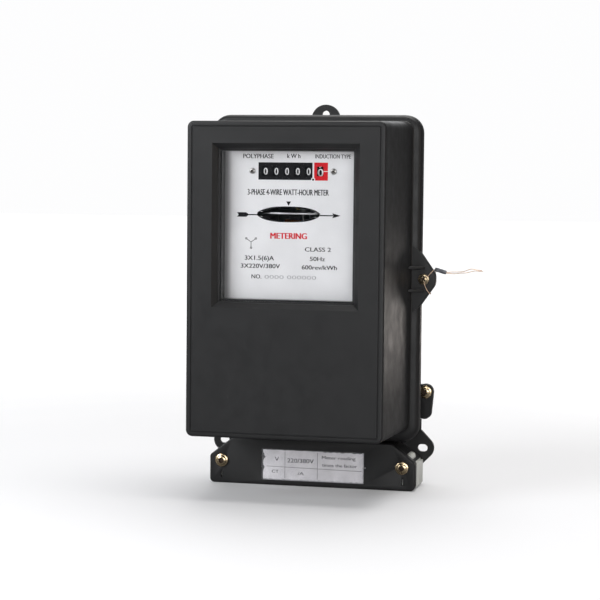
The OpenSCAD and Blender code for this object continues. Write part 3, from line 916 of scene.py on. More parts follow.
@dataclass
class MainCover:
    """The deep front cover: drafted box, flange, grooved front, window funnel and two sealing lugs."""

    front_half: float = 71.0
    base_half: float = 73.0
    flange_half: float = 79.6
    front: Point = (18.9, 241.5)
    base: Point = (16.6, 243.8)
    flange: Point = (7.8, 248.8)
    front_y: float = -127.0
    flange_y: float = -36.0
    lip_y: float = -25.5
    wall: float = 2.4
    window_half: float = 53.0
    window: Point = (110.4, 226.3)
    bevel: float = 4.8
    corners: Place = (13.0, 7.0, 4.5)
    lug: Point = (82.5, 129.0)
    lug_proud: float = 0.3
    lug_back: float = -30.4
    rib_gap: float = 8.4
    rib_width: float = 2.2

    def ring(self, form: Form, share: float, y: float) -> list[Edge]:
        """Adds a loop between the flange's edge, at share 0, and the foot of the wall, at share 1.

        Args:
            form: The form that takes it.
            share: How far in it lies.
            y: Its depth.

        Returns:
            Its edges.
        """
        return form.loop(
            between(self.flange_half, self.base_half, share),
            between(self.flange[0], self.base[0], share),
            between(self.flange[1], self.base[1], share),
            between(self.corners[0], self.corners[1], share),
            y,
        )

    def wall_loop(self, form: Form, share: float, y: float, inset: float = 0.0) -> list[Edge]:
        """Adds a loop on the drafted wall, from its foot at share 0 to the front at share 1.

        Args:
            form: The form that takes it.
            share: How far forward it lies.
            y: Its depth.
            inset: How far it is drawn in.

        Returns:
            Its edges.
        """
        return form.loop(
            between(self.base_half, self.front_half, share) - inset,
            between(self.base[0], self.front[0], share) + inset,
            between(self.base[1], self.front[1], share) - inset,
            max(between(self.corners[1], self.corners[2], share) - inset, 1.0),
            y,
        )

    def shell(self) -> Piece:
        """Builds the box and flange as one skin with a wall.

        Returns:
            The box and flange.
        """
        form = Form()
        loops = [
            self.ring(form, 0.0, self.lip_y),
            self.ring(form, 0.0, self.flange_y + 4.8),
            self.ring(form, 0.05, self.flange_y + 3.0),
            self.ring(form, 0.14, self.flange_y + 1.7),
            self.ring(form, 0.28, self.flange_y + 0.8),
            self.ring(form, 0.48, self.flange_y + 0.25),
            self.ring(form, 0.68, self.flange_y),
            self.ring(form, 0.82, self.flange_y - 0.1),
            self.ring(form, 0.92, self.flange_y - 0.5),
            self.wall_loop(form, 0.0, self.flange_y - 1.3),
            self.wall_loop(form, 0.02, self.flange_y - 2.4),
            self.wall_loop(form, 0.5, (self.flange_y + self.front_y) / 2),
            self.wall_loop(form, 0.97, self.front_y + 2.6),
            self.wall_loop(form, 0.99, self.front_y + 1.3),
            self.wall_loop(form, 1.0, self.front_y + 0.55, 0.25),
            self.wall_loop(form, 1.0, self.front_y + 0.12, 0.75),
            self.wall_loop(form, 1.0, self.front_y, 1.4),
        ]
        form.loft(loops)
        face = form.bm.faces.new(self.ordered(loops[-1]))
        form.bm.normal_update()
        if face.normal.y > 0:
            face.normal_flip()
        bmesh.ops.recalc_face_normals(form.bm, faces=form.bm.faces[:])
        for width, depth in ((1.7, 0.0), (0.3, -0.55), (0.35, 0.0), (0.3, 0.4)):
            bmesh.ops.inset_region(form.bm, faces=[face], thickness=width, depth=depth, use_even_offset=True)
        self.pierce(form, face)
        piece = form.finish("main_cover_shell", CASE, recalc=False)
        skin = piece.modifiers.new("wall", "SOLIDIFY")
        skin.thickness = self.wall * MM
        skin.offset = -1.0
        skin.use_even_offset = False
        baked(piece)
        shade(piece, 32)
        return piece

    def ordered(self, edges: Sequence[Edge]) -> list[Vert]:
        """Puts the vertices of a closed loop of edges in order.

        Args:
            edges: The edges of the loop.

        Returns:
            Its vertices, one after the other.
        """
        left = set(edges)
        edge = edges[0]
        run = [edge.verts[0], edge.verts[1]]
        left.discard(edge)
        while len(left) > 1:
            step = next(e for e in run[-1].link_edges if e in left)
            left.discard(step)
            run.append(step.other_vert(run[-1]))
        return run

    def facing(self, form: Form, depth: float) -> list[Face]:
        """Returns the faces that look forward at a depth."""
        near = [f for f in form.bm.faces if abs(f.calc_center_median().y - depth) < 1e-3]
        return [f for f in near if f.normal.y < -0.9]

    def pierce(self, form: Form, face: Face) -> None:
        """Opens the window in the front face and draws its funnel back to the glass.

        Args:
            form: The cover's form.
            face: Its front face.
        """
        depth = face.calc_center_median().y
        low, high = self.window
        for x in (-self.window_half, self.window_half):
            form.slice(Axis.X, x, self.facing(form, depth))
        for z in (low, high):
            middle = [f for f in self.facing(form, depth) if abs(f.calc_center_median().x) < 10]
            form.slice(Axis.Z, z, middle)
        centre = Vector((0, depth, (low + high) / 2))
        pane = min(self.facing(form, depth), key=lambda f: (f.calc_center_bounds() - centre).length)
        edges = list(pane.edges)
        bmesh.ops.delete(form.bm, geom=[pane], context="FACES_ONLY")
        steps = [(0.25, 0.12), (0.55, 0.45), (3.4, 3.1), (3.8, 3.7), (4.1, 4.6)]
        for inset, back in (*steps, (self.bevel, 5.0), (self.bevel + 0.2, 5.6)):
            done = bmesh.ops.extrude_edge_only(form.bm, edges=edges)
            edges = [g for g in done["geom"] if isinstance(g, Edge)]
            for vert in {v for e in edges for v in e.verts}:
                x = math.copysign(self.window_half - inset, vert.co.x)
                z = high - inset if vert.co.z > (low + high) / 2 else low + inset
                vert.co = Vector((x, self.front_y + back, z))

    def rib(self, gap: float) -> Piece:
        """Builds one rib of the right lug.

        Args:
            gap: The height of its middle above the lug's.

        Returns:
            The rib.
        """
        form = Form()
        shape = [(71.2, -46.0), (71.6, -34.5), (83.3, -34.5), (83.3, -37.6), (81.5, -39.6), (75.2, -43.6)]
        foot = self.lug[1] + gap - self.rib_width / 2
        verts = [form.bm.verts.new((x, y, foot)) for x, y in shape]
        form.thicken([form.bm.faces.new(verts)], (0, 0, self.rib_width))
        form.soften(0.55, 3)
        return form.finish("rib", CASE)

    def plate(self) -> Piece:
        """Builds the pointed plate of the right lug with its screw hole.

        Returns:
            The plate.
        """
        form = Form()
        x, z = self.lug
        front_y = self.flange_y - self.lug_proud
        upper = [(71.0, z + 27), (79.3, z + 20.6), (91.0, z + 3.9)]
        face = form.outline([*upper, *((px, 2 * z - pz) for px, pz in reversed(upper))], self.lug_back)
        form.bevel([v for v in face.verts if v.co.x > 90], 2.0, 4)
        face = max(form.bm.faces, key=lambda f: f.calc_area())
        form.thicken([face], (0, front_y - self.lug_back, 0))
        front = [e for e in form.bm.edges if all(abs(v.co.y - front_y) < 1e-4 for v in e.verts)]
        form.bevel([e for e in front if min(v.co.x for v in e.verts) > 71.5], 0.9, 3)
        lug = form.finish("lug", CASE)
        hole = Form()
        hole.turn([(0, -28.0), (2.3, -28.0), (2.3, -38.0), (0, -38.0)], (x, 0, z), steps=32)
        return cut(lug, hole)

    def lugs(self) -> list[Piece]:
        """Builds the two sealing lugs with their ribs.

        Returns:
            The plates and ribs, left and right.
        """
        made = []
        for side in (-1, 1):
            lug = [self.rib(-self.rib_gap), self.rib(self.rib_gap), self.plate()]
            if side < 0:
                for obj in lug:
                    obj.data.transform(Matrix.Scale(-1, 4, (1, 0, 0)))
                    obj.data.flip_normals()
            made += lug
        return made

    def build(self) -> None:
        """Builds and dresses the cover."""
        piece = joined("main_cover_moulding", [self.shell(), *self.lugs()])
        shade(piece, 32)
        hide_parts("main_cover")
        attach(piece, "cover")
        LOG.info("main cover, %d faces", len(piece.data.polygons))


@dataclass
class Screw:
    """A screw along Y with a domed head, an optional collar and a cross recess.

    Heights of the head's outline are shares of its height, radii are shares of its radius.
    """

    place: Point
    seat: float
    head: Point
    shank: Point
    turn: float = 20.0
    collar: bool = True
    slot: float = 0.28
    socket: float = 0.0
    holes: tuple[float, ...] = ()
    steps: int = 56

    COLLARED: ClassVar[list[Point]] = [
        (0.97, 0.0), (1.0, 0.12), (1.0, 0.4), (0.97, 0.5), (0.9, 0.56), (0.8, 0.58), (0.77, 0.6),
        (0.75, 0.68), (0.7, 0.8), (0.6, 0.9), (0.42, 0.97), (0.2, 1.0), (0.0, 1.0),
    ]
    PLAIN: ClassVar[list[Point]] = [
        (0.96, 0.0), (1.0, 0.1), (1.0, 0.42), (0.97, 0.58), (0.88, 0.76), (0.72, 0.9), (0.5, 0.975),
        (0.25, 1.0), (0.0, 1.0),
    ]

    def profile(self) -> list[Point]:
        """Works out the turned section, from the tip to the top of the head.

        Returns:
            Radius and distance behind the seat.
        """
        r, h = self.head
        rs, ls = self.shank
        tip = [(0.0, ls), (rs * 0.7, ls), (rs, ls - rs * 0.4), (rs, 0.0)]
        head = self.COLLARED if self.collar else self.PLAIN
        return tip + [(r * out, -h * up) for out, up in head]

    def form(self, name: str) -> Piece:
        """Builds the screw with its recess cut.

        Args:
            name: The piece's name.

        Returns:
            The screw.
        """
        x, z = self.place
        body = Form()
        body.turn(self.profile(), (x, self.seat, z), steps=self.steps)
        piece = body.finish(name, BRASS)
        # second slot: the painted shade that the recess faces take
        piece.data.materials.append(RECESS_SHADE.material())
        for angle in (0, 90):
            cut(piece, self.blade(angle), 1)
        if self.socket:
            r, h = self.head
            low, high = -0.3 * h, -1.2 * h
            pit = Form()
            pit.turn(
                [(0, low), (r * self.socket * 0.5, low), (r * self.socket, high), (0, high)],
                (x, self.seat, z), steps=24,
            )
            cut(piece, pit, 1)
        for angle in self.holes:
            cut(piece, self.drill(angle))
        return piece

    def turned(self, form: Form, verts: Sequence[Vert], angle: float, lift: float) -> None:
        """Turns a tool about the screw's axis and moves it over the head.

        Args:
            form: The tool.
            verts: Its vertices.
            angle: The turn, in degrees.
            lift: How far forward of the seat it goes.
        """
        turn = Matrix.Rotation(math.radians(angle), 3, "Y")
        bmesh.ops.rotate(form.bm, verts=verts, cent=(0, 0, 0), matrix=turn)
        x, z = self.place
        bmesh.ops.translate(form.bm, verts=verts, vec=(x, self.seat - lift, z))

    def blade(self, angle: float) -> Form:
        """Builds the tapered blade that cuts one slot of the cross.

        Args:
            angle: Its turn beyond the screw's own, in degrees.

        Returns:
            The blade.
        """
        r, h = self.head
        tool = Form()
        verts = bmesh.ops.create_cube(tool.bm, size=1.0)["verts"]
        reach = r * (1.16 if self.collar else 1.25)
        bmesh.ops.scale(tool.bm, verts=verts, vec=(reach, h * 1.6, r * self.slot))
        deep = [v for v in verts if v.co.y > 0]
        bmesh.ops.scale(tool.bm, verts=deep, vec=(0.6, 1.0, 0.7))
        self.turned(tool, verts, self.turn + angle, h * 1.12)
        return tool

    def drill(self, angle: float) -> Form:
        """Builds the drill for one end of the seal hole.

        Args:
            angle: The direction of the hole, in degrees.

        Returns:
            The drill.
        """
        r = self.head[0]
        tool = Form()
        done = bmesh.ops.create_cone(
            tool.bm, cap_ends=True, segments=16, radius1=0.5, radius2=0.5, depth=2 * r
        )
        bmesh.ops.translate(tool.bm, verts=done["verts"], vec=(0, 0, r))
        self.turned(tool, done["verts"], angle, 1.8)
        return tool


@dataclass
class ScrewSet:
    """The screws that one CAD node stands for."""

    node: str
    body: str
    screws: list[Screw]
    finish: Finish = BRASS
    material_slot: str = "screw_brass"

    def build(self) -> None:
        """Builds the screws as one piece."""
        parts = [screw.form(f"{self.node}_{i}") for i, screw in enumerate(self.screws)]
        piece = joined(f"{self.node}_turned", parts)
        piece.data.materials[0] = self.finish.material()
        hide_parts(self.node)
        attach(piece, self.body)
        LOG.info("%s, %d faces", self.node, len(piece.data.polygons))


@dataclass
class DialPrint:
    """Everything printed on the dial plate, in generic words, and the register's dark surround."""

    level: float = -111.0
    ink: float = 0.02
    digit_z: float = 206.8
    disc_z: float = 176.6
    units_x: float = 12.7
    step: float = 7.78
    tenths_x: float = 21.3
    point: Point = (16.3, 201.0)
    opening: Point = (-2.2, 2.35)
    opening_rise: float = 3.35
    rim: Point = (22.9, 5.55)
    slot_arc: Point = (52.6, 47.35)
    slot_nose: Point = (1.85, 20.9)
    sleeve: float = 1.25

    def words(self) -> None:
        """Prints the black and grey lettering and the red line."""
        lv = self.level
        black = [
            lettering("POLYPHASE", 3.3, (-34.4, -12.4), 215.7, lv),
            lettering("k W h", 3.2, (-2.4, 7.0), 216.0, lv),
            lettering("INDUCTION TYPE", 3.0, (17.8, 43.2), 215.9, lv, weight=0.02),
            lettering("3-PHASE 4-WIRE WATT-HOUR METER", 4.3, (-31.0, 27.6), 190.0, lv, weight=0.028),
            lettering("CLASS 2", 3.1, (10.9, 29.6), 150.7, lv),
            lettering("50Hz", 3.1, (14.6, 25.4), 144.1, lv),
            lettering("600rev/kWh", 3.1, (8.8, 34.0), 138.1, lv),
            lettering("3X1.5(6)A", 3.3, (-32.7, -11.5), 144.0, lv),
            lettering("3X220V/380V", 3.2, (-35.6, -7.1), 138.4, lv),
            lettering("NO.", 3.0, (-27.7, -20.6), 131.0, lv),
        ]
        number = lettering("0000 000000", 2.7, (-18.2, 19.2), 131.0, lv, weight=0.0)
        red = lettering("METERING", 4.4, (-14.1, 12.1), 159.3, lv, weight=0.06)
        printed("dial_lettering", black, INK, "case")
        printed("dial_stamp", [number], GREY_INK, "case")
        printed("dial_red_line", [red], RED_INK, "case")

    def marks(self) -> None:
        """Prints the rotation arrow, the pointer and the star connection symbol."""
        form = Form()
        y, t, z = self.level, self.ink, self.disc_z - 0.6
        rear, front = y + t, y - t
        feather = [(-38.8, z + 1.6), (-37.5, z), (-38.8, z - 1.6)]
        feather += [(-32.0, z - 1.6), (-29.9, z), (-32.0, z + 1.6)]
        form.slab(feather, rear, front)
        form.bar((-30.4, z), (-24.0, z), 0.8, y, t)
        form.bar((21.4, z), (31.0, z), 0.8, y, t)
        form.slab([(30.3, z + 1.75), (36.3, z), (30.3, z - 1.75), (31.2, z)], rear, front)
        form.slab([(-2.9, 185.6), (0.5, 185.6), (-1.2, 182.5)], rear, front)
        cx, cz = -28.3, 156.6
        ends = [(cx - 3.5, cz + 2.6), (cx + 3.5, cz + 2.6), (cx, cz - 4.0)]
        for ex, ez in ends:
            form.bar((cx, cz), (ex, ez), 0.42, y, t)
            form.ring((ex, ez), 0.65, 0.35, y, t * 1.1, 16)
        printed("dial_marks", [form], INK, "case")
        rim = Form()
        self.lens(rim)
        printed("slot_rim", [rim], INK, "case")

    def lens(self, form: Form) -> None:
        """Prints the dark surround of the disc slot: a blunt outline round the slot's own shape.

        Args:
            form: The form that takes it.
        """
        z, x0 = self.disc_z - 0.1, -1.3
        half, rise = self.rim
        radius, drop = self.slot_arc
        nose_radius, nose_x = self.slot_nose
        turns = [math.tau * i / 72 for i in range(72)]
        outer, inner = [], []
        for turn in turns:
            x, up = half * math.cos(turn), math.copysign(1.0, math.sin(turn))
            share = min(abs(x) / half, 1.0)
            outer.append((x0 + x, z + up * rise * (1 - share**2.6) ** 0.6))
            x *= 0.985
            arc = math.sqrt(radius**2 - x * x) - drop
            nose = 0.0
            if abs(x) > 17.5:
                nose = math.sqrt(max(nose_radius**2 - max(abs(x) - nose_x, 0.0) ** 2, 0.0))
            inner.append((x0 + x, z + up * max(arc - 0.1, nose, 0.02)))
        loops = [form.outline(run, self.level - self.ink) for run in (outer, inner)]
        edges = [e for face in loops for e in face.edges]
        bmesh.ops.delete(form.bm, geom=loops, context="FACES_ONLY")
        band = bmesh.ops.bridge_loops(form.bm, edges=edges)["faces"]
        form.thicken(band, (0, self.sleeve, 0))

    def surround(self, name: str, box: Box, holes: Sequence[float], finish: Finish) -> None:
        """Prints a surround with openings over the number wheels.

        Args:
            name: The piece's name.
            box: Its left, right, lower and upper edges.
            holes: The X of each wheel that shows through it.
            finish: Its ink.
        """
        form = Form()
        form.outline(rectangle(box), self.level - self.ink)
        for x in holes:
            for side in self.opening:
                form.slice(Axis.X, x + side)
        for rise in (-self.opening_rise, self.opening_rise):
            form.slice(Axis.Z, self.digit_z + rise)
        row = [f for f in form.bm.faces if abs(f.calc_center_median().z - self.digit_z) < 3.0]
        gone = [f for f in row if any(abs(f.calc_center_median().x - x) < 2.0 for x in holes)]
        bmesh.ops.delete(form.bm, geom=gone, context="FACES")
        form.thicken(form.bm.faces[:], (0, 2 * self.ink, 0))
        printed(name, [form], finish, "case")

    def spot(self, name: str, radius: float, rise: float, finish: Finish) -> None:
        """Prints a round spot at the decimal point.

        Args:
            name: The piece's name.
            radius: Its radius.
            rise: How far forward it stands.
            finish: Its ink.
        """
        form = Form()
        x, z = self.point
        profile = [(0, 0.03), (radius, 0.03), (radius, -rise), (0, -rise)]
        form.turn(profile, (x, self.level - self.ink, z), steps=20)
        printed(name, [form], finish, "case")

    def build(self) -> None:
        """Prints the whole dial."""
        self.words()
        self.marks()
        wheels = [self.units_x - k * self.step for k in range(5)]
        self.surround("register_surround", (-23.3, 15.85, 200.7, 212.9), wheels, INK)
        self.surround("tenths_surround", (17.0, 26.9, 200.4, 213.0), [self.tenths_x], RED_INK)
        tick = Form()
        tick.bar((23.8, self.digit_z), (26.9, self.digit_z), 0.45, self.level - self.ink, self.ink)
        printed("tenths_tick", [tick], WHITE_INK, "case")
        self.spot("decimal_dot", 0.75, 0.06, INK)
        self.spot("decimal_halo", 1.5, 0.035, WHITE_INK)


@dataclass
class NumberWheel:
    """The ten white figures round one number wheel."""

    name: str
    body: str
    x: float
    radius: float = 10.0
    axis: Point = (-99.5, 206.8)
    height: float = 5.2
    width: float = 2.7
    shift: float = 0.0

    def build(self) -> None:
        """Wraps the figures 0 to 9 round the drum."""
        forms = []
        for figure in range(10):
            wide = self.width * (0.5 if figure == 1 else 1.0)
            span = (self.x - wide / 2, self.x + wide / 2)
            form = lettering(str(figure), self.height, span, -self.height / 2, 0.0, 0.03, 0.022)
            for level in (-1.6, -0.8, 0.0, 0.8, 1.6):
                form.slice(Axis.Z, level)
            start = math.radians(36 * figure + self.shift)
            for vert in form.bm.verts:
                turn = vert.co.z / self.radius - start
                reach = self.radius + 0.02 - vert.co.y
                y, z = self.axis[0] - reach * math.cos(turn), self.axis[1] + reach * math.sin(turn)
                vert.co = Vector((vert.co.x, y, z))
            forms.append(form)
        printed(self.name, forms, WHITE_INK, self.body)


@dataclass
class TerminalCover:
    """The low cover over the terminals, with sloping shoulders and a recess for the card."""

    half: float = 78.3
    foot: float = -27.5
    top: float = 7.0
    shoulder: Point = (61.0, -6.6)
    front: float = -40.0
    back: float = -32.0
    card: Box = (-38.2, 40.2, -23.75, -0.25)
    screw: Point = (68.9, -10.4)
    notch: Point = (-23.2, -18.6)
    corner: float = 3.4
    hollow_half: float = 76.5

    def outline(self, form: Form, inset: float, y: float) -> Face:
        """Adds the outline at a depth, with rounded lower corners and softened shoulders.

        Args:
            form: The form that takes it.
            inset: How far it is drawn in.
            y: Its depth.

        Returns:
            Its face.
        """
        sx, sz = self.shoulder
        w = self.half - inset
        right = [(w, self.foot + inset), (w, sz - 0.4 * inset), (sx - 0.4 * inset, self.top - inset)]
        left = [(-x, z) for x, z in reversed(right)]
        face = form.outline([left[-1], *right, *left[:-1]], y)
        feet = [v for v in face.verts if v.co.z < self.foot + inset + 0.1]
        rest = [v for v in face.verts if v.co.z > self.foot + inset + 0.1]
        form.bevel(feet, self.corner, 6)
        form.bevel([v for v in rest if v.is_valid], 1.2, 3)
        return max(form.bm.faces, key=lambda f: f.calc_area())

    def build(self) -> None:
        """Builds and dresses the cover."""
        form = Form()
        face = self.outline(form, 0.0, self.back)
        form.thicken([face], (0, self.front - self.back, 0))
        rim = [e for e in form.bm.edges if all(abs(v.co.y - self.front) < 1e-4 for v in e.verts)]
        form.bevel(rim, 0.9, 4)
        piece = form.finish("terminal_cover_moulding", CASE)
        inside = Form()
        sx, sz = self.shoulder
        inner = [(self.hollow_half, self.foot - 6), (self.hollow_half, sz - 0.4), (sx - 0.8, self.top - 2)]
        mirrored = [(-x, z) for x, z in reversed(inner)]
        inside.slab([mirrored[-1], *inner, *mirrored[:-1]], self.back + 3, self.front + 2.6)
        cut(piece, inside)
        pocket = Form()
        pocket.slab(rectangle(self.card), self.front + 1.6, self.front - 2)
        cut(piece, pocket)
        for side in (-1, 1):
            x, z = side * self.screw[0], self.screw[1]
            hole = Form()
            hole.turn([(0, 8.0), (2.3, 8.0), (2.3, -4.0), (0, -4.0)], (x, self.front, z), steps=32)
            cut(piece, hole)
            notch = Form()
            nx, (low, high) = x + 0.3 * side, self.notch
            notch.slab(rectangle((nx - 0.6, nx + 0.6, low, high)), self.back + 1, self.front - 2)
            cut(piece, notch)
        edge = piece.modifiers.new("edge", "BEVEL")
        edge.width = 0.22 * MM
        edge.segments = 2
        edge.limit_method = "ANGLE"
        edge.angle_limit = math.radians(50)
        baked(piece)
        shade(piece, 35)
        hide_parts("terminal_cover")
        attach(piece, "terminal_lid")
        LOG.info("terminal cover, %d faces", len(piece.data.polygons))


@dataclass
class BlockCheeks:
    """The grey cheeks that stand out on both ends of the terminal block, each with a small round boss."""

    span: Point = (75.4, 78.1)
    depth: Point = (-3.4, -31.4)
    levels: Point = (-25.6, -8.4)
    boss: Place = (71.4, -31.0, -4.6)

    def build(self) -> None:
        """Builds both cheeks and bosses as one piece."""
        form = Form()
        for side in (-1, 1):
            near, far = self.span
            form.slab(rectangle((side * near, side * far, *self.levels)), *self.depth)
        form.soften(0.4, 3, 60)
        for side in (-1, 1):
            x, y, z = self.boss
            form.turn([(0, 16.0), (3.1, 16.0), (3.1, 0.5), (2.6, 0.0), (0, 0.0)], (side * x, y, z), steps=32)
        piece = form.finish("terminal_block_cheeks", CHEEK)
        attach(piece, "case")
        LOG.info("block cheeks, %d faces", len(piece.data.polygons))


@dataclass
class RatingCard:
    """The paper card behind the clear sheet: ruled lines and generic words, with uneven edges."""

    box: Box = (-37.6, 39.6, -23.3, -0.7)
    level: float = -38.65
    columns: Point = (-20.3, 4.6)
    row: float = -14.0
    count: int = 60

    def edge(self) -> list[Point]:
        """Works out the card's outline: wavy below, ragged above, torn twice on the left.

        Returns:
            Its points, in X and Z.
        """
        left, right, low, high = self.box
        wide, tall = right - left, high - low
        points = []
        for i in range(self.count):
            wave = 0.12 * math.sin(i * 1.7) + 0.1 * math.sin(i * 0.61)
            points.append((left + 0.6 + (wide - 0.8) * i / self.count, low + 0.25 + wave))
        for i in range(10):
            points.append((right - 0.35 + 0.15 * math.sin(i * 2.3), low + 0.4 + (tall - 1.0) * i / 10))
        for i in range(self.count):
            x = right - 0.5 - (wide - 1.2) * i / self.count
            teeth = abs(math.sin(i * 0.9)) * (0.35 + 0.65 * abs(math.sin(i * 0.37)))
            points.append((x, high - 0.3 - (0.9 if x > 7 else 0.35) * teeth))
        for i in range(26):
            t = i / 26
            torn = 2.0 * math.exp(-(((t - 0.24) / 0.1) ** 2)) + 1.3 * math.exp(-(((t - 0.62) / 0.08) ** 2))
            x = left + 0.4 + torn * (0.8 + 0.2 * math.sin(i * 2.1))
            points.append((x, high - 0.6 - (tall - 1.2) * t))
        return points

    def build(self) -> None:
        """Builds the card and its print."""
        left, right, low, high = self.box
        paper = Form()
        paper.slab(self.edge(), self.level + 0.35, self.level)
        sheet = paper.finish("rating_card_paper", PAPER)
        sheet.data.shade_flat()
        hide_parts("rating_card")
        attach(sheet, "terminal_lid")
        rim = Form()
        upright = (right - 0.1, right + 0.6, low - 0.1, high)
        sill = (left + 0.8, right + 0.6, low - 0.35, low + 0.25)
        for box in (upright, sill):
            rim.slab(rectangle(box), self.level, self.level - 0.7)
        pin = (right + 1.5, -40.0, (low + high) / 2 + 0.4)
        rim.turn([(0, 0.6), (0.45, 0.6), (0.45, -0.1), (0, -0.1)], pin, steps=16)
        edge = rim.finish("card_window_rim", FILM_EDGE)
        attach(edge, "terminal_lid")
        lines = Form()
        lv, ink = self.level, 0.02
        for x in self.columns:
            lines.bar((x, low + 1.2), (x, high - 1.4), 0.3, lv, ink)
        lines.bar((left + 3.2, self.row + 0.4), (right - 1.2, self.row - 0.6), 0.3, lv, ink)
        words = [
            lines,
            lettering("V", 3.1, (-28.1, -25.0), -9.4, lv),
            lettering("CT", 2.4, (-30.4, -25.2), -18.4, lv),
            lettering("220/380V", 3.3, (-18.4, 1.8), -10.2, lv),
            lettering("/A", 2.4, (-10.4, -5.8), -19.3, lv),
            lettering("Meter reading", 2.5, (8.0, 33.6), -6.5, lv),
            lettering("times the factor", 2.4, (8.2, 34.6), -12.1, lv),
        ]
        printed("rating_card_print", words, CARD_INK, "terminal_lid")


@dataclass
class Strand:
    """One strand of the seal wire, a thin cord."""

    name: str
    points: list[Place]
    length: float
    diameter: float = 0.6

    def build(self, ferrule: Sequence[Piece]) -> None:
        """Args:
            ferrule: The pieces crimped on it. Not used.
        """
        curve = bpy.data.curves.new(self.name, "CURVE")
        curve.dimensions = "3D"
        curve.bevel_depth = self.diameter / 2 * MM
        curve.bevel_resolution = 3
        curve.use_fill_caps = True
        spline = curve.splines.new("POLY")
        spline.points.add(len(self.points) - 1)
        for point, place in zip(spline.points, self.points):
            point.co = (*[c * MM for c in place], 1.0)
        curve.materials.append(COPPER.material())
        piece = bpy.data.objects.new(self.name, curve)
        bpy.context.scene.collection.objects.link(piece)
        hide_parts("seal_wire")
        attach(piece, "cover")
        LOG.info("strand %s", self.name)


def smoothed(points: Sequence[Place], steps: int = 3) -> list[Place]:
    """Fills in a smooth curve through the given points.

    Args:
        points: The points that the curve passes through.
        steps: Points made for each one given.

    Returns:
        The finer run.
    """
    vectors = [Vector(p) for p in points]
    run = []
    for i in range(len(vectors) - 1):
        p0, p1, p2 = vectors[max(i - 1, 0)], vectors[i], vectors[i + 1]
        p3 = vectors[min(i + 2, len(vectors) - 1)]
        square, cube = 2 * p0 - 5 * p1 + 4 * p2 - p3, 3 * p1 - p0 - 3 * p2 + p3
        for k in range(steps):
            t = k / steps
            run.append(0.5 * (2 * p1 + (p2 - p0) * t + square * t * t + cube * t**3))
    run.append(vectors[-1])
    return [tuple(p) for p in run]


def run_length(points: Sequence[Place]) -> float:
    """Returns the length of a run of points in metres."""
    return sum((Vector(b) - Vector(a)).length for a, b in zip(points, points[1:])) * MM


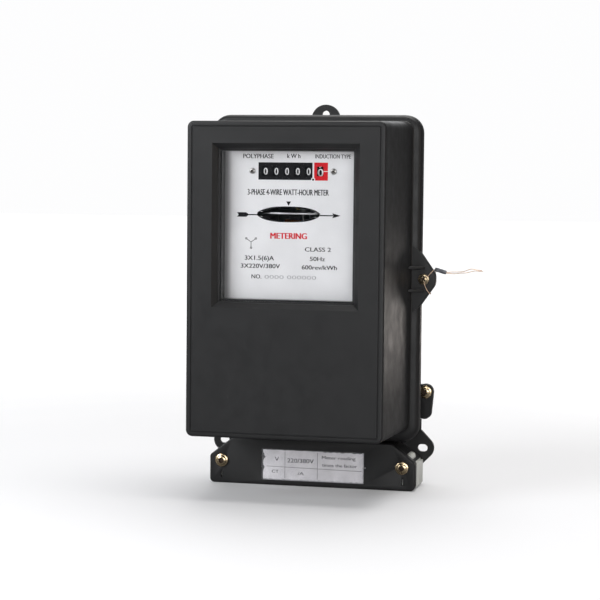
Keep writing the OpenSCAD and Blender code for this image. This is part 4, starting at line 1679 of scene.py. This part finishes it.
@dataclass
class Seal:
    """The seal: two strands of fine wire through the screw head and a crimped ferrule."""

    upper: list[Place] = field(default_factory=lambda: [
        (84.1, -37.8, 130.2), (85.3, -37.8, 131.1), (86.5, -37.8, 132), (87.7, -37.9, 132.9),
        (89, -38, 133.8), (90.4, -38.1, 134.6), (92, -38.2, 134.9), (94, -38.2, 134.4), (96, -38.2, 133.8),
        (98, -38.2, 133.2), (99.6, -38.2, 132.9), (101.5, -38.1, 132.9), (103.5, -37.9, 133.1),
        (105.5, -37.8, 133.2), (107.5, -37.8, 133.2), (109.5, -38, 133.3), (111.5, -38.2, 133.6),
        (113.5, -38.4, 134.1), (115.5, -38.6, 134.9), (117.5, -38.7, 135.6), (119.5, -38.7, 135.5),
        (121.5, -38.6, 135.1), (123.5, -38.5, 134.9), (125.5, -38.4, 134.8)])
    lower: list[Place] = field(default_factory=lambda: [
        (83, -37.8, 127.1), (83.4, -37.8, 125.6), (83.8, -37.8, 124.1), (84.4, -37.8, 122.7),
        (85.1, -37.7, 121.4), (85.9, -37.5, 120.2), (86.8, -37.1, 119.1), (87.8, -36.4, 118.3),
        (87.9, -35.3, 118.3), (87.4, -33.9, 118.5), (86.9, -32.4, 119), (86.7, -31, 119.8),
        (86.8, -29.9, 121), (87.2, -29.3, 122.6), (88.3, -29.1, 124.4), (88.6, -29.1, 126.4),
        (88.9, -29.1, 128.4), (89.3, -29.5, 130.2), (89.9, -30.5, 131.8), (90.7, -32, 133),
        (91.2, -33.7, 133.7), (91.6, -35.3, 134), (92.3, -36.6, 134), (93.2, -37.3, 133.8),
        (94.5, -37.4, 133.4), (96, -37.4, 133), (98, -37.4, 132.4), (99.6, -37.4, 132.1),
        (101.5, -37.3, 132), (104, -37.1, 131.8), (106.5, -37, 131.9), (109, -37, 132.3),
        (111.5, -37.1, 132.5), (114, -37.2, 132.7), (116.5, -37.3, 133.3), (119, -37.4, 134),
        (121.5, -37.5, 134.2), (124, -37.6, 134), (126.5, -37.7, 134.2)])
    start: Place = (91.0, -37.8, 136.7)
    end: Place = (99.4, -37.8, 134.3)
    side: float = 3.0
    rise: float = 1.75

    def lifted(self, points: Sequence[Place]) -> list[Place]:
        """Raises the part of a strand beyond the lug to the ferrule's level.

        Args:
            points: The points of a strand.

        Returns:
            The raised points.
        """
        raised = []
        for x, y, z in points:
            share = min(max((x - 86) / 5, 0), 1) if z > 128 else 0
            raised.append((x, y, z + self.rise * share))
        return raised

    def ferrule(self) -> Piece:
        """Builds the crimped ferrule: a soft block with flattened bites.

        Returns:
            The ferrule.
        """
        a, b = Vector(self.start), Vector(self.end)
        run = b - a
        form = Form()
        done = bmesh.ops.create_cube(form.bm, size=1.0)
        bmesh.ops.scale(form.bm, verts=done["verts"], vec=(self.side, self.side, run.length))
        for share in (-0.4, -0.28, -0.16, -0.04, 0.08, 0.2, 0.32, 0.42):
            form.slice(Axis.Z, share * run.length)
        for vert in form.bm.verts:
            along = vert.co.z / run.length
            bite = 0.07 * max(0.0, math.cos(along * math.tau * 2.5)) + (0.05 if abs(along) > 0.45 else 0.0)
            vert.co.x *= 1 - bite
            vert.co.y *= 1 - bite * 0.7
        form.soften(0.42, 3, 40)
        turn = Vector((0, 0, 1)).rotation_difference(run).to_matrix()
        bmesh.ops.rotate(form.bm, verts=form.bm.verts[:], cent=(0, 0, 0), matrix=turn)
        bmesh.ops.translate(form.bm, verts=form.bm.verts[:], vec=(a + b) / 2)
        piece = form.finish("seal_ferrule_crimped", LEAD)
        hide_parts("seal_ferrule")
        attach(piece, "cover")
        return piece

    def build(self) -> None:
        """Builds both strands and the ferrule."""
        crimp = self.ferrule()
        upper, lower = smoothed(self.lifted(self.upper)), smoothed(self.lifted(self.lower))
        Strand("seal_strand_upper", upper, run_length(upper)).build([crimp])
        Strand("seal_strand_lower", lower, run_length(lower)).build([crimp])


@dataclass
class CarriedNodes:
    """The CAD nodes that stay as they are, with a finish and softened edges."""

    finishes: dict[str, Finish]
    edge: float = 0.18

    WIDE: ClassVar[dict[str, float]] = {
        "back_plate": 0.7, "case_wall": 0.5, "terminal_block": 0.5,
        "left_side_tab": 0.7, "right_side_tab": 0.7,
    }
    SHARP: ClassVar[tuple[str, ...]] = ("number_wheel", "carry", "worm", "second", "tenths", "rotor_worm")

    def build(self) -> None:
        """Gives every shown CAD node its finish and, where set, softened edges."""
        for name, finish in self.finishes.items():
            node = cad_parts.get(name)
            if node is None or node.hide_render:
                continue
            node.data.materials.clear()
            node.data.materials.append(finish.material())
            width = self.WIDE.get(name, self.edge)
            if finish in (GLASS, FILM):
                continue
            weld = node.modifiers.new("weld", "WELD")
            weld.merge_threshold = 0.004 * MM
            if name.startswith(self.SHARP):
                continue
            bevel = node.modifiers.new("edge", "BEVEL")
            bevel.width = width * MM
            bevel.segments = 3 if width > 0.3 else 2
            bevel.limit_method = "ANGLE"
            bevel.angle_limit = math.radians(40)
            LOG.info("node %s in %s", name, finish.name)


# ---------------------------------------------------------------- studio


@dataclass
class Studio:
    """The camera, the pale floor and the soft lamps."""

    place: Place = (0.32535, -1.41200, 0.20284)
    target: Place = (-0.00475, -0.05991, 0.11308)
    lens: float = 114.47
    roll: float = 0.56
    floor_z: float = -0.0276
    ambient: float = 0.1

    def camera(self) -> None:
        """Places the camera."""
        data = bpy.data.cameras.new("camera")
        data.lens = self.lens
        data.sensor_width = 36.0
        data.clip_start, data.clip_end = 0.05, 60.0
        camera = bpy.data.objects.new("camera", data)
        bpy.context.scene.collection.objects.link(camera)
        ahead = (Vector(self.target) - Vector(self.place)).normalized()
        right = ahead.cross(Vector((0, 0, 1))).normalized()
        up = right.cross(ahead)
        c, s = math.cos(math.radians(self.roll)), math.sin(math.radians(self.roll))
        right, up = right * c + up * s, up * c - right * s
        turn = Matrix((right, up, -ahead)).transposed()
        camera.matrix_world = Matrix.Translation(self.place) @ turn.to_4x4()
        bpy.context.scene.camera = camera

    def floor(self) -> None:
        """Lays the pale floor."""
        form = Form()
        bmesh.ops.create_grid(form.bm, x_segments=8, y_segments=8, size=9000)
        bmesh.ops.translate(form.bm, verts=form.bm.verts[:], vec=(0, 0, self.floor_z / MM))
        form.finish("floor", FLOOR, recalc=False)

    def lamp(
        self, name: str, place: Place, size: Point, power: float, colour: Colour,
        aim: Place = (0, -0.06, 0.11),
    ) -> None:
        """Adds a soft rectangular lamp.

        Args:
            name: Its name.
            place: Where it stands, in metres.
            size: Its width and height, in metres.
            power: Its power, in watts.
            colour: Its colour.
            aim: The point that it faces.
        """
        data = bpy.data.lights.new(name, "AREA")
        data.shape = "RECTANGLE"
        data.size, data.size_y = size
        data.energy = power
        data.color = colour
        lamp = bpy.data.objects.new(name, data)
        bpy.context.scene.collection.objects.link(lamp)
        lamp.location = place
        lamp.rotation_mode = "QUATERNION"
        lamp.rotation_quaternion = (Vector(aim) - Vector(place)).to_track_quat("-Z", "Y")

    def air(self) -> None:
        """Sets the even white surroundings, dimmer as a light than as a backdrop."""
        world = bpy.data.worlds.new("air")
        bpy.context.scene.world = world
        world.use_nodes = True
        tree = world.node_tree
        light = tree.nodes["Background"]
        light.inputs["Color"].default_value = (0.97, 0.98, 1.0, 1.0)
        way = tree.nodes.new("ShaderNodeTexCoord")
        apart = tree.nodes.new("ShaderNodeSeparateXYZ")
        tree.links.new(way.outputs["Generated"], apart.inputs["Vector"])
        behind = FLOOR.step(tree, apart.outputs["Y"], (0.35, 0.9), (0.0, 1.45))
        beside = FLOOR.step(tree, apart.outputs["X"], (-0.05, 0.2), (1.0, 0.0))
        both = tree.nodes.new("ShaderNodeMath")
        both.operation = "MULTIPLY_ADD"
        tree.links.new(behind, both.inputs[0])
        tree.links.new(beside, both.inputs[1])
        both.inputs[2].default_value = self.ambient
        tree.links.new(both.outputs["Value"], light.inputs["Strength"])
        backdrop = tree.nodes.new("ShaderNodeBackground")
        backdrop.inputs["Color"].default_value = (0.985, 0.985, 0.99, 1.0)
        backdrop.inputs["Strength"].default_value = 1.0
        seen = tree.nodes.new("ShaderNodeLightPath")
        mix = tree.nodes.new("ShaderNodeMixShader")
        tree.links.new(seen.outputs["Is Camera Ray"], mix.inputs["Fac"])
        tree.links.new(light.outputs["Background"], mix.inputs[1])
        tree.links.new(backdrop.outputs["Background"], mix.inputs[2])
        tree.links.new(mix.outputs["Shader"], tree.nodes["World Output"].inputs["Surface"])

    def lights(self) -> None:
        """Hangs the lamps."""
        self.lamp("key", (-1.0, -1.3, 0.75), (0.8, 0.9), 17.0, (0.96, 0.98, 1.0))
        self.lamp("side", (1.7, -0.4, 0.5), (0.8, 1.0), 2.4, (1.0, 0.86, 0.72))
        self.lamp("top", (0.15, 0.05, 1.4), (1.3, 0.9), 18.0, (1.0, 0.99, 0.97))
        self.lamp("sheen", (0.25, 0.8, 0.03), (0.3, 0.1), 0.26, (1.0, 0.92, 0.86), (0.07, -0.06, 0.1))
        self.lamp("front", (0.75, -1.9, 0.28), (1.7, 0.6), 13.0, (1.0, 1.0, 1.0))

    def build(self) -> None:
        """Sets up the whole studio."""
        scene = bpy.context.scene
        scene.view_settings.view_transform = "Standard"
        scene.view_settings.look = "None"
        self.camera()
        self.floor()
        self.air()
        self.lights()


def screw_sets() -> list[ScrewSet]:
    """Lists the visible screws.

    Returns:
        One set for each CAD node of visible screws.
    """
    lids = [
        Screw((x, -10.4), -40.0, (4.9, 2.6), (2.0, 17.0), turn=turn, slot=0.4, socket=0.46)
        for x, turn in ((-68.9, 28), (68.9, 8))
    ]
    tabs = [
        Screw((x, 43.0), -7.9, (4.9, 2.7), (1.8, 6.0), turn=35, slot=0.36, socket=0.4)
        for x in (-79.9, 79.9)
    ]
    holes = (53.0, 165.0)
    covers = [
        Screw((x, 129.0), -36.3, (4.1, 2.3), (2.0, 15.0), turn=25, slot=0.34, socket=0.3, holes=holes)
        for x in (-82.5, 82.5)
    ]
    dials = [
        Screw((x, 206.8), -111.0, (2.1, 1.0), (1.2, 4.0), turn=30, collar=False, slot=0.3, steps=32)
        for x in (-27.6, 31.0)
    ]
    return [
        ScrewSet("terminal_cover_screws", "terminal_lid", lids),
        ScrewSet("side_tab_screws", "case", tabs),
        ScrewSet("cover_screws", "cover", covers, SEAL_SCREW),
        ScrewSet("dial_screws", "case", dials, STEEL, "screw_steel"),
    ]


def carried() -> CarriedNodes:
    """Lists the finish of each CAD node that stays.

    Returns:
        The nodes with their finishes.
    """
    finishes: dict[str, Finish] = {
        "back_plate": CASE, "case_wall": CASE, "window_frame": POLISHED, "left_side_tab": CASE,
        "right_side_tab": CASE, "cover_gasket": GASKET, "base_inserts": BARREL, "mechanism_frame": CAST,
        "frame_screws": STEEL, "top_bearing": BARREL, "bottom_bearing": BARREL,
        "rotor_shaft": STEEL, "rotor_worm": BARREL,
        "upper_disc": DISC, "lower_disc": DISC, "upper_brake_magnet": MAGNET, "lower_brake_magnet": MAGNET,
        "register_frame": SHEET, "worm_wheel": BARREL, "second_gear": BARREL, "number_axle": STEEL,
        "pinion_axle": STEEL,
        "tenths_wheel": RED_WHEEL, "dial_plate": ENAMEL, "window_glass": GLASS, "terminal_block": BLOCK,
        "terminal_barrels": BARREL, "terminal_screws": STEEL, "card_window": FILM,
    }
    for side in ("rear", "left", "right"):
        finishes[f"{side}_voltage_core"] = CORE
        finishes[f"{side}_current_core"] = CORE
        finishes[f"{side}_voltage_coil"] = TAPE
        finishes[f"{side}_current_coils"] = WINDING
    for k in range(1, 6):
        finishes[f"number_wheel_{k}"] = WHEEL
        finishes[f"carry_pinion_{k}"] = NYLON
    return CarriedNodes(finishes)


def main() -> None:
    """Builds the scene in order and reports each piece."""
    logging.basicConfig(level=logging.INFO, format="%(name)s: %(message)s")
    Studio().build()
    Seal().build()
    MainCover().build()
    TerminalCover().build()
    BlockCheeks().build()
    RatingCard().build()
    for screws in screw_sets():
        screws.build()
    DialPrint().build()
    for k in range(1, 6):
        NumberWheel(f"figures_{k}", f"digit_{k}", 12.7 - 7.78 * (k - 1)).build()
    NumberWheel("figures_tenths", "tenths", 21.2, radius=9.7, shift=4.0, width=3.9, height=5.6).build()
    carried().build()


if __name__ == "__main__":
    main()
